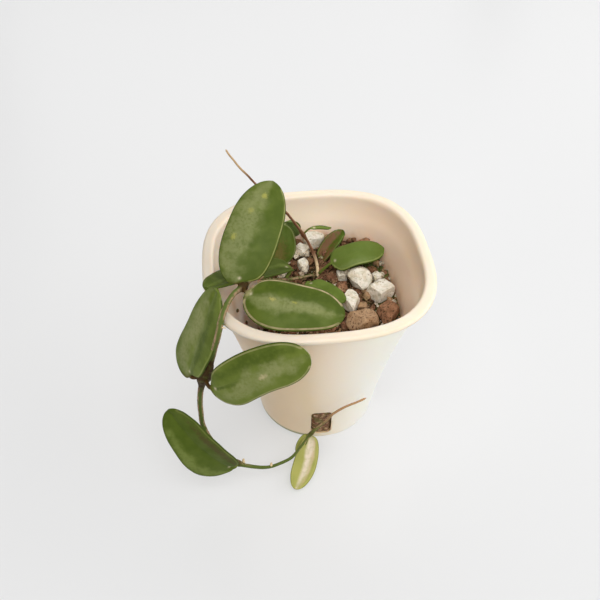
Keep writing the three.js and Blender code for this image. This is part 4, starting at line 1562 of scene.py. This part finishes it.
def leaves() -> list[Leaf]:
    """List the plant's leaves, from the pair above the rim to the small ones in the crown."""
    # Painted sheen with the silver mottling over one half, and painted shade over the other half.
    upper = WaxyLeaf(
        "waxy_leaf_upper", margin_highlight="A8A468", margin_highlight_sides=(0.0, 0.55), margin_highlight_width=0.4, stalk=OLD_STALK,
        patches=(
            Patch(SILVER_AND_SHEEN, -0.5, 0.45, 0.7, 0.7, 0.68, 1.9), Patch(SILVER_AND_SHEEN, -0.3, 0.85, 0.5, 0.22, 0.45, 1.6),
            Patch(DEEP_AND_SHADE, 0.7, 0.5, 0.5, 0.6, 0.6, 2.4), Patch(FLECK, -0.1, 0.84, 0.16, 0.035, 0.75, 0.22),
            Patch(FLECK, -0.6, 0.4, 0.12, 0.035, 0.6, 0.22),
            Patch(FLECK, -0.35, 0.66, 0.14, 0.035, 0.45, 0.22),
        ),
    )
    # Painted shade over one half, and a painted highlight with the silver mottling along the middle.
    rim = WaxyLeaf(
        "waxy_leaf_rim", margin_highlight="B6A27E", margin_highlight_sides=(0.9, 0.7), margin_highlight_width=0.6, stalk=OLD_STALK,
        patches=(
            Patch(DEEP_AND_SHADE, -0.58, 0.55, 0.5, 0.65, 1.0, 2.4), Patch(SILVER_AND_SHEEN, 0.08, 0.5, 0.34, 0.6, 0.85, 2.0),
            Patch(SILVER_AND_SHEEN, 0.3, 0.25, 0.3, 0.2, 0.5, 1.4), Patch("B9AE62", 0.0, 0.3, 0.09, 0.035, 0.7, 0.22),
            Patch(FLECK, -0.05, 0.5, 0.07, 0.035, 0.6, 0.22),
            Patch("A79D6E", -0.1, 0.02, 1.0, 0.07, 0.7, 1.0),
        ),
    )
    # Painted sheen with the silver mottling over one half, and painted shade along the other.
    left = WaxyLeaf(
        "waxy_leaf_left", body="66742C", deep="56641E", margin_highlight="9A9C62", margin_highlight_sides=(0.0, 0.35),
        stalk=OLD_STALK,
        patches=(
            Patch(SILVER_AND_SHEEN, -0.45, 0.5, 0.6, 0.6, 0.95, 1.9), Patch(DEEP_AND_SHADE, 0.35, 0.4, 0.22, 0.6, 0.8, 2.0),
        ),
    )
    # Painted shade over one half, and a painted sheen along the fold.
    behind = WaxyLeaf(
        "waxy_leaf_behind", body="4E5C18", deep="43510F", margin_highlight_sides=(0.0, 0.1), roughness=0.6,
        patches=(
            Patch(DEEP_AND_SHADE, -0.5, 0.5, 0.6, 0.9, 0.8, 2.0), Patch(PALE_SHEEN, 0.2, 0.5, 0.16, 0.8, 0.4, 1.2),
        ),
    )
    # Painted shade over one half and at the base, and a painted highlight with the silver mottling along the
    # middle.
    front = WaxyLeaf(
        "waxy_leaf_front", body="66732C", deep="5B6922", margin_highlight="B0A578", margin_highlight_sides=(0.4, 0.6),
        stalk=OLD_STALK,
        patches=(
            Patch(DEEP_AND_SHADE, -0.6, 0.45, 0.4, 0.6, 0.85, 2.4), Patch(SILVER_AND_SHEEN, 0.1, 0.6, 0.5, 0.5, 0.85, 1.9),
            Patch(SILVER_AND_SHEEN, 0.5, 0.25, 0.3, 0.2, 0.6, 1.5), Patch(DEEP_AND_SHADE, 0.02, 0.12, 0.12, 0.2, 0.8, 1.5),
            Patch("C4B28C", 0.2, 0.5, 0.14, 0.045, 0.75, 0.5),
        ),
    )
    # A dark body, partly painted shade for a leaf tilted away from the light, with a painted sheen along one
    # edge.
    low = WaxyLeaf(
        "waxy_leaf_low", body="4E5D16", deep="46560F", margin_highlight_sides=(0.0, 0.15), roughness=0.56,
        patches=(
            Patch(PALE_SHEEN, -0.72, 0.4, 0.3, 0.6, 0.75, 2.0), Patch("4A3A18", 0.66, 0.4, 0.26, 0.5, 0.8, 0.35),
        ),
    )
    young = WaxyLeaf(
        "waxy_leaf_young", body="9E9C52", deep="94954A", rim="82843C", margin_highlight="B5B268", margin_highlight_sides=(0.3, 0.3),
        under="B4B478", stalk="8C8C40",
        patches=(
            Patch("DFD0BA", -0.12, 0.5, 0.42, 0.85, 1.0, 3.0),
            Patch("D9B9A0", -0.5, 0.5, 0.2, 0.7, 0.5, 2.0),
        ),
    )
    twin = WaxyLeaf(
        "waxy_leaf_young_twin", body="9A9C4A", deep="8C9044", rim="5A6828", margin_highlight="B5B268",
        patches=(
            Patch(DEEP_AND_SHADE, 0.0, 0.5, 0.25, 0.9, 0.7, 0.8),
        ),
    )
    crown = WaxyLeaf(
        "waxy_leaf_crown", body="62742C", deep="5A6C25", margin_highlight="7C8A44", margin_highlight_sides=(0.2, 0.3),
        roughness=0.62,
    )
    back = WaxyLeaf("waxy_leaf_crown_back", body="6B8244", deep="64793C", margin_highlight="9AA070", roughness=0.62)
    tall = WaxyLeaf(
        "waxy_leaf_crown_tall", body="5C6F2C", deep="4F621A", margin_highlight="A8A878", margin_highlight_sides=(0.1, 0.5),
        patches=(
            Patch("8A5F42", -0.1, 0.3, 0.6, 0.4, 0.45, 0.4), Patch(DEEP_AND_SHADE, 0.3, 0.35, 0.35, 0.35, 0.5, 1.0),
        ),
    )
    narrow = WaxyLeaf(
        "waxy_leaf_crown_narrow", body="54681F", deep="4A5D14", margin_highlight="8C9A60", margin_highlight_sides=(0.3, 0.3),
        patches=(
            Patch(PLUM, -0.4, 0.5, 0.7, 0.7, 1.0, 0.5), Patch(PLUM, 0.6, 0.25, 0.5, 0.4, 0.9, 0.5),
        ),
    )
    flat = WaxyLeaf(
        "waxy_leaf_crown_flat", body="667832", deep="60722C", margin_highlight="98A05C", margin_highlight_sides=(0.0, 0.6),
        patches=(
            Patch("7C8850", 0.75, 0.3, 0.3, 0.5, 0.5, 1.5),
        ),
    )
    return [
        Leaf(
            "leaf_upper", JOINT_RIM, (-31, -15.8, 86.6), (-24.2, -1, 99.4), (-15.1, 16.6, 108.2),
            (-0.07, -0.72, 0.69), 19.6, -0.1, upper, Slot.LEAF_DARK, breadth=1.03,
            lobes=(Lobe(-1, 0.25, 0.25, 0.05), Lobe(1, 0.3, 0.3, 0.04)),
        ),
        Leaf(
            "leaf_rim", JOINT_RIM, (-28.6, -22.6, 88.2), (-12, -31, 88.6), (5.5, -35.1, 84.6),
            (-0.03, -0.41, 0.91), 19, -0.1, rim, Slot.LEAF_DARK,
            lobes=(Lobe(-1, 0.5, 0.35, -0.13), Lobe(1, 0.3, 0.28, 0.18), Lobe(1, 0.82, 0.3, -0.14)),
        ),
        Leaf(
            "leaf_left", JOINT_HANGING, (-52.2, -33.2, 57), (-46.4, -27.4, 75), (-39.2, -22.8, 91),
            (-0.785, -0.4, 0.47), 18, 0.02, left, Slot.LEAF_DARK,
            lobes=(Lobe(-1, 0.12, 0.22, 0.55), Lobe(-1, 0.8, 0.25, -0.1), Lobe(1, 0.55, 0.3, 0.14)),
        ),
        Leaf(
            "leaf_behind", JOINT_HIDDEN, (-9.9, 7.6, 71.2), (-27.5, -1.8, 77.4), (-43.3, -19, 88.2),
            (-0.1, 0.1, 0.98), 15, 0.3, behind, Slot.LEAF_DARK,
        ),
        Leaf(
            "leaf_front", JOINT_HANGING, (-44.3, -42.4, 60), (-25.8, -47.4, 72), (-8.6, -48.6, 80),
            (-0.1, -0.9, 0.42), 18.5, -0.08, front, Slot.LEAF_DARK, breadth=1.03,
            lobes=(Lobe(1, 0.14, 0.16, 0.22), Lobe(1, 0.55, 0.25, -0.09)),
        ),
        Leaf(
            "leaf_low", JOINT_LOW, (-39.8, -46.6, 14), (-52.6, -45.2, 29.4), (-62.6, -36.8, 42.6),
            (-0.62, -0.42, 0.66), 18, 0.16, low, Slot.LEAF_DARK, breadth=1.03,
            lobes=(Lobe(-1, 0.22, 0.26, 0.42),),
        ),
        Leaf(
            "leaf_young", JOINT_YOUNG, (-6, -32.8, 11.4), (-10, -42.8, 5.4), (-15.1, -52.4, 2.6),
            (0.1, -0.4, 0.9), 9.6, 0.15, young, Slot.LEAF_YOUNG, roundness=2.2, petiole=0.7,
        ),
        Leaf(
            "leaf_young_twin", JOINT_YOUNG, (-7.4, -32, 11.2), (-10.3, -34.7, 8.6), (-12.6, -37.6, 5),
            (-0.6, -0.35, 0.7), 4.6, 0.3, twin, Slot.LEAF_YOUNG, roundness=2.2, petiole=0.6,
        ),
        Leaf(
            "leaf_crown_tall", (-10, 18.6, 54), (-12.2, 20.9, 61), (-12.4, 24.5, 70), (-12.8, 28.2, 79),
            (0.4, -0.7, 0.6), 14, 0.1, tall, Slot.LEAF_MID,
        ),
        Leaf(
            "leaf_crown_back", (-6.8, 32, 58), (-8.4, 31.2, 67.4), (-8, 30.6, 73), (-7.6, 30.2, 78),
            (0.1, -0.8, 0.6), 9.6, 0.1, back, Slot.LEAF_MID,
        ),
        Leaf(
            "leaf_crown_narrow", (4.4, 22, 54), (4.6, 23.6, 59.6), (9.4, 27.2, 65.6), (15.6, 31, 70.2),
            (-0.5, -0.5, 0.7), 9.6, 0.35, narrow, Slot.LEAF_MID, petiole=0.8, breadth=0.78,
        ),
        Leaf(
            "leaf_crown_flat", (3.0, 16.4, 59.4), (8.4, 17, 64.2), (19.7, 16.8, 70.2), (31, 17.8, 69),
            (0, -0.3, 0.95), 12.6, -0.06, flat, Slot.LEAF_MID, petiole=0.8,
            lobes=(Lobe(-1, 0.55, 0.45, -0.25), Lobe(1, 0.1, 0.16, 0.22), Lobe(-1, 0.08, 0.16, 0.3)),
        ),
        Leaf(
            "leaf_crown_low", (0.4, 14.2, 53), (-2.6, 7.9, 62.6), (3.6, 1.6, 63.4), (11, -5.6, 62.8),
            (0.2, -0.2, 0.95), 8.8, 0.05, crown, Slot.LEAF_MID, petiole=0.8, breadth=1.06,
        ),
        Leaf(
            "leaf_bud", JOINT_RUNNER, (0.2, 25.5, 77), (5, 26.8, 76.4), (9.6, 27.2, 75), (0, -0.3, 0.95),
            1.9, 0, crown, Slot.LEAF_MID, petiole=0.5,
        ),
    ]


def stems() -> None:
    """Build the vine and the runner."""
    nubs = (
        Nub((-39.3, -34.9, 84), (0.9, -0.2, -0.1), 2.4, 0.34),
        Nub((-35.5, -42.9, 11.0), (0.1, 0.4, 1.0), 1.9, 0.75),
        Nub((-24.1, -43.0, 7.0), (0.1, 0.3, 1.0), 1.5, 0.7),
    )
    # The hanging joint and the place just above it are darkened over a long reach: a dark joint together with
    # painted shadow where the leaf stalks meet the vine.
    joints = (
        Joint(JOINT_HIDDEN), Joint(JOINT_RIM, 0.9, 2.4, 1.8, 2.6), Joint(JOINT_HANGING, 1.7, 3.8, 3.5, 5.6),
        Joint((-45.0, -35.4, 63.4), 0.9, 3.2, 3.0, 4.4), Joint(JOINT_LOW, 0.5), Joint(JOINT_YOUNG, 0.4),
    )
    girth = (
        (0.0, 0.6), (0.1, 0.62), (0.27, 0.9), (0.36, 1.2), (0.5, 1.12), (0.66, 0.95), (0.76, 0.68),
        (0.9, 0.55), (1.0, 0.42),
    )
    vine = Stem("vine", VINE_POINTS, joints, girth, 480, nubs)
    vine.build(Bark("green_vine_skin"), Slot.VINE)
    girth = ((0.0, 0.75), (0.35, 0.6), (1.0, 0.38))
    runner = Stem("runner", RUNNER_POINTS, (Joint(JOINT_RUNNER),), girth, 240, pale_below=66.0)
    runner.build(Bark("brown_runner_skin", "6E4A33", "A0765C", "5A3524", "B99A72", 0.8, 0.88), Slot.RUNNER)


# The studio


@dataclass
class Studio:
    """The plain white table, the soft lights and the camera at the photograph's place."""

    place: Triple = (-29.5627, -221.4826, 274.4907)
    right: Triple = (0.994047, -0.108715, -0.007207)
    up: Triple = (0.080534, 0.688602, 0.720653)
    back: Triple = (-0.073383, -0.716944, 0.693258)
    lens: float = 45.0
    sensor: float = 36.0
    table: float = 3000.0
    below: float = -0.05
    pale: str = "F4F5F7"
    sky: float = 0.02
    lamp_size: float = 1000.0
    target: Triple = (0.0, 0.0, 50.0)
    lamps: tuple[tuple[str, Triple, float], ...] = (
        ("window_light", (1100, 0, 600), 6.4), ("ceiling_light", (0, -500, 1000), 10.4),
        ("left_light", (-1000, 500, 500), 2.2), ("front_left_light", (-900, -800, 600), 2.4),
        ("back_light", (0, 1100, 700), 4.2), ("corner_light", (800, 800, 700), 4.2),
        ("front_light", (800, -800, 700), 3.2),
    )

    def camera(self) -> None:
        """Set the camera where the photograph was taken from."""
        made = bpy.data.cameras.new("photo_camera")
        made.lens = self.lens
        made.sensor_width = self.sensor
        made.clip_start = 10 * MM
        holder = link(bpy.data.objects.new("photo_camera", made))
        turn = Matrix((self.right, self.up, self.back)).transposed()
        holder.matrix_world = Matrix.Translation(Vector(self.place) * MM) @ turn.to_4x4()
        bpy.context.scene.camera = holder

    def lamp(self, name: str, place: Triple, power: float) -> None:
        """Add a soft white square lamp that faces the pot.

        Args:
            name: The lamp's name.
            place: Where it hangs, in mm.
            power: Its power in watts.
        """
        made = bpy.data.lights.new(name, "AREA")
        made.size = self.lamp_size * MM
        made.energy = power
        holder = link(bpy.data.objects.new(name, made))
        holder.location = Vector(place) * MM
        holder.rotation_euler = (Vector(self.target) - Vector(place)).to_track_quat("-Z", "Y").to_euler()

    def build(self) -> None:
        """Make the table, the lights, the pale surroundings and the camera."""
        half = self.table / 2
        skin = Skin()
        corners = ((-half, -half), (half, -half), (half, half), (-half, half))
        skin.faces.append(tuple(skin.point(Vector((x, y, self.below))) for x, y in corners))
        top = skin.make("table_top")
        top.data.materials.append(WhiteTop("white_laminate").material())
        for lamp in self.lamps:
            self.lamp(*lamp)
        world = bpy.data.worlds.new("pale_room")
        world.use_nodes = True
        background = world.node_tree.nodes["Background"].inputs
        background["Color"].default_value = linear(self.pale)
        background["Strength"].default_value = self.sky
        bpy.context.scene.world = world
        bpy.context.scene.view_settings.view_transform = "Standard"
        self.camera()


def main() -> None:
    """Build the pot, its mix and stones, the stems, the leaves and the studio."""
    logging.basicConfig(level=logging.INFO, format="%(message)s")
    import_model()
    Studio().build()
    pot = Pot()
    bed = PottingMix(pot)
    pot.build(bed.top)
    bed.build()
    pumice = PorousStone("pumice").material()
    tan_clay = PorousStone("tan_baked_clay", "C6A27E", "B48F6A", "5A3A22", "9C7450", 0.3, 0.3).material()
    brown_clay = PorousStone("brown_baked_clay", "A87A5A", "96694C", "2C2A14", "735238", 0.4, 0.4).material()
    for number, (at, size, seed) in enumerate(PUMICE_STONES, 1):
        chip = Chip(at, size, seed) if number == 1 else Chip(at, size, seed, 0.12, growth=1.2, blocky=True)
        Stone(f"pumice_{number}", chip).build(pumice, Slot.PUMICE)
    for number, (at, size, seed) in enumerate(CLAY_STONES, 1):
        clay = tan_clay if number == 1 else brown_clay
        Stone(f"clay_{number}", Chip(at, size, seed)).build(clay, Slot.CLAY)
    stems()
    for leaf in leaves():
        leaf.build()


if __name__ == "__main__":
    main()
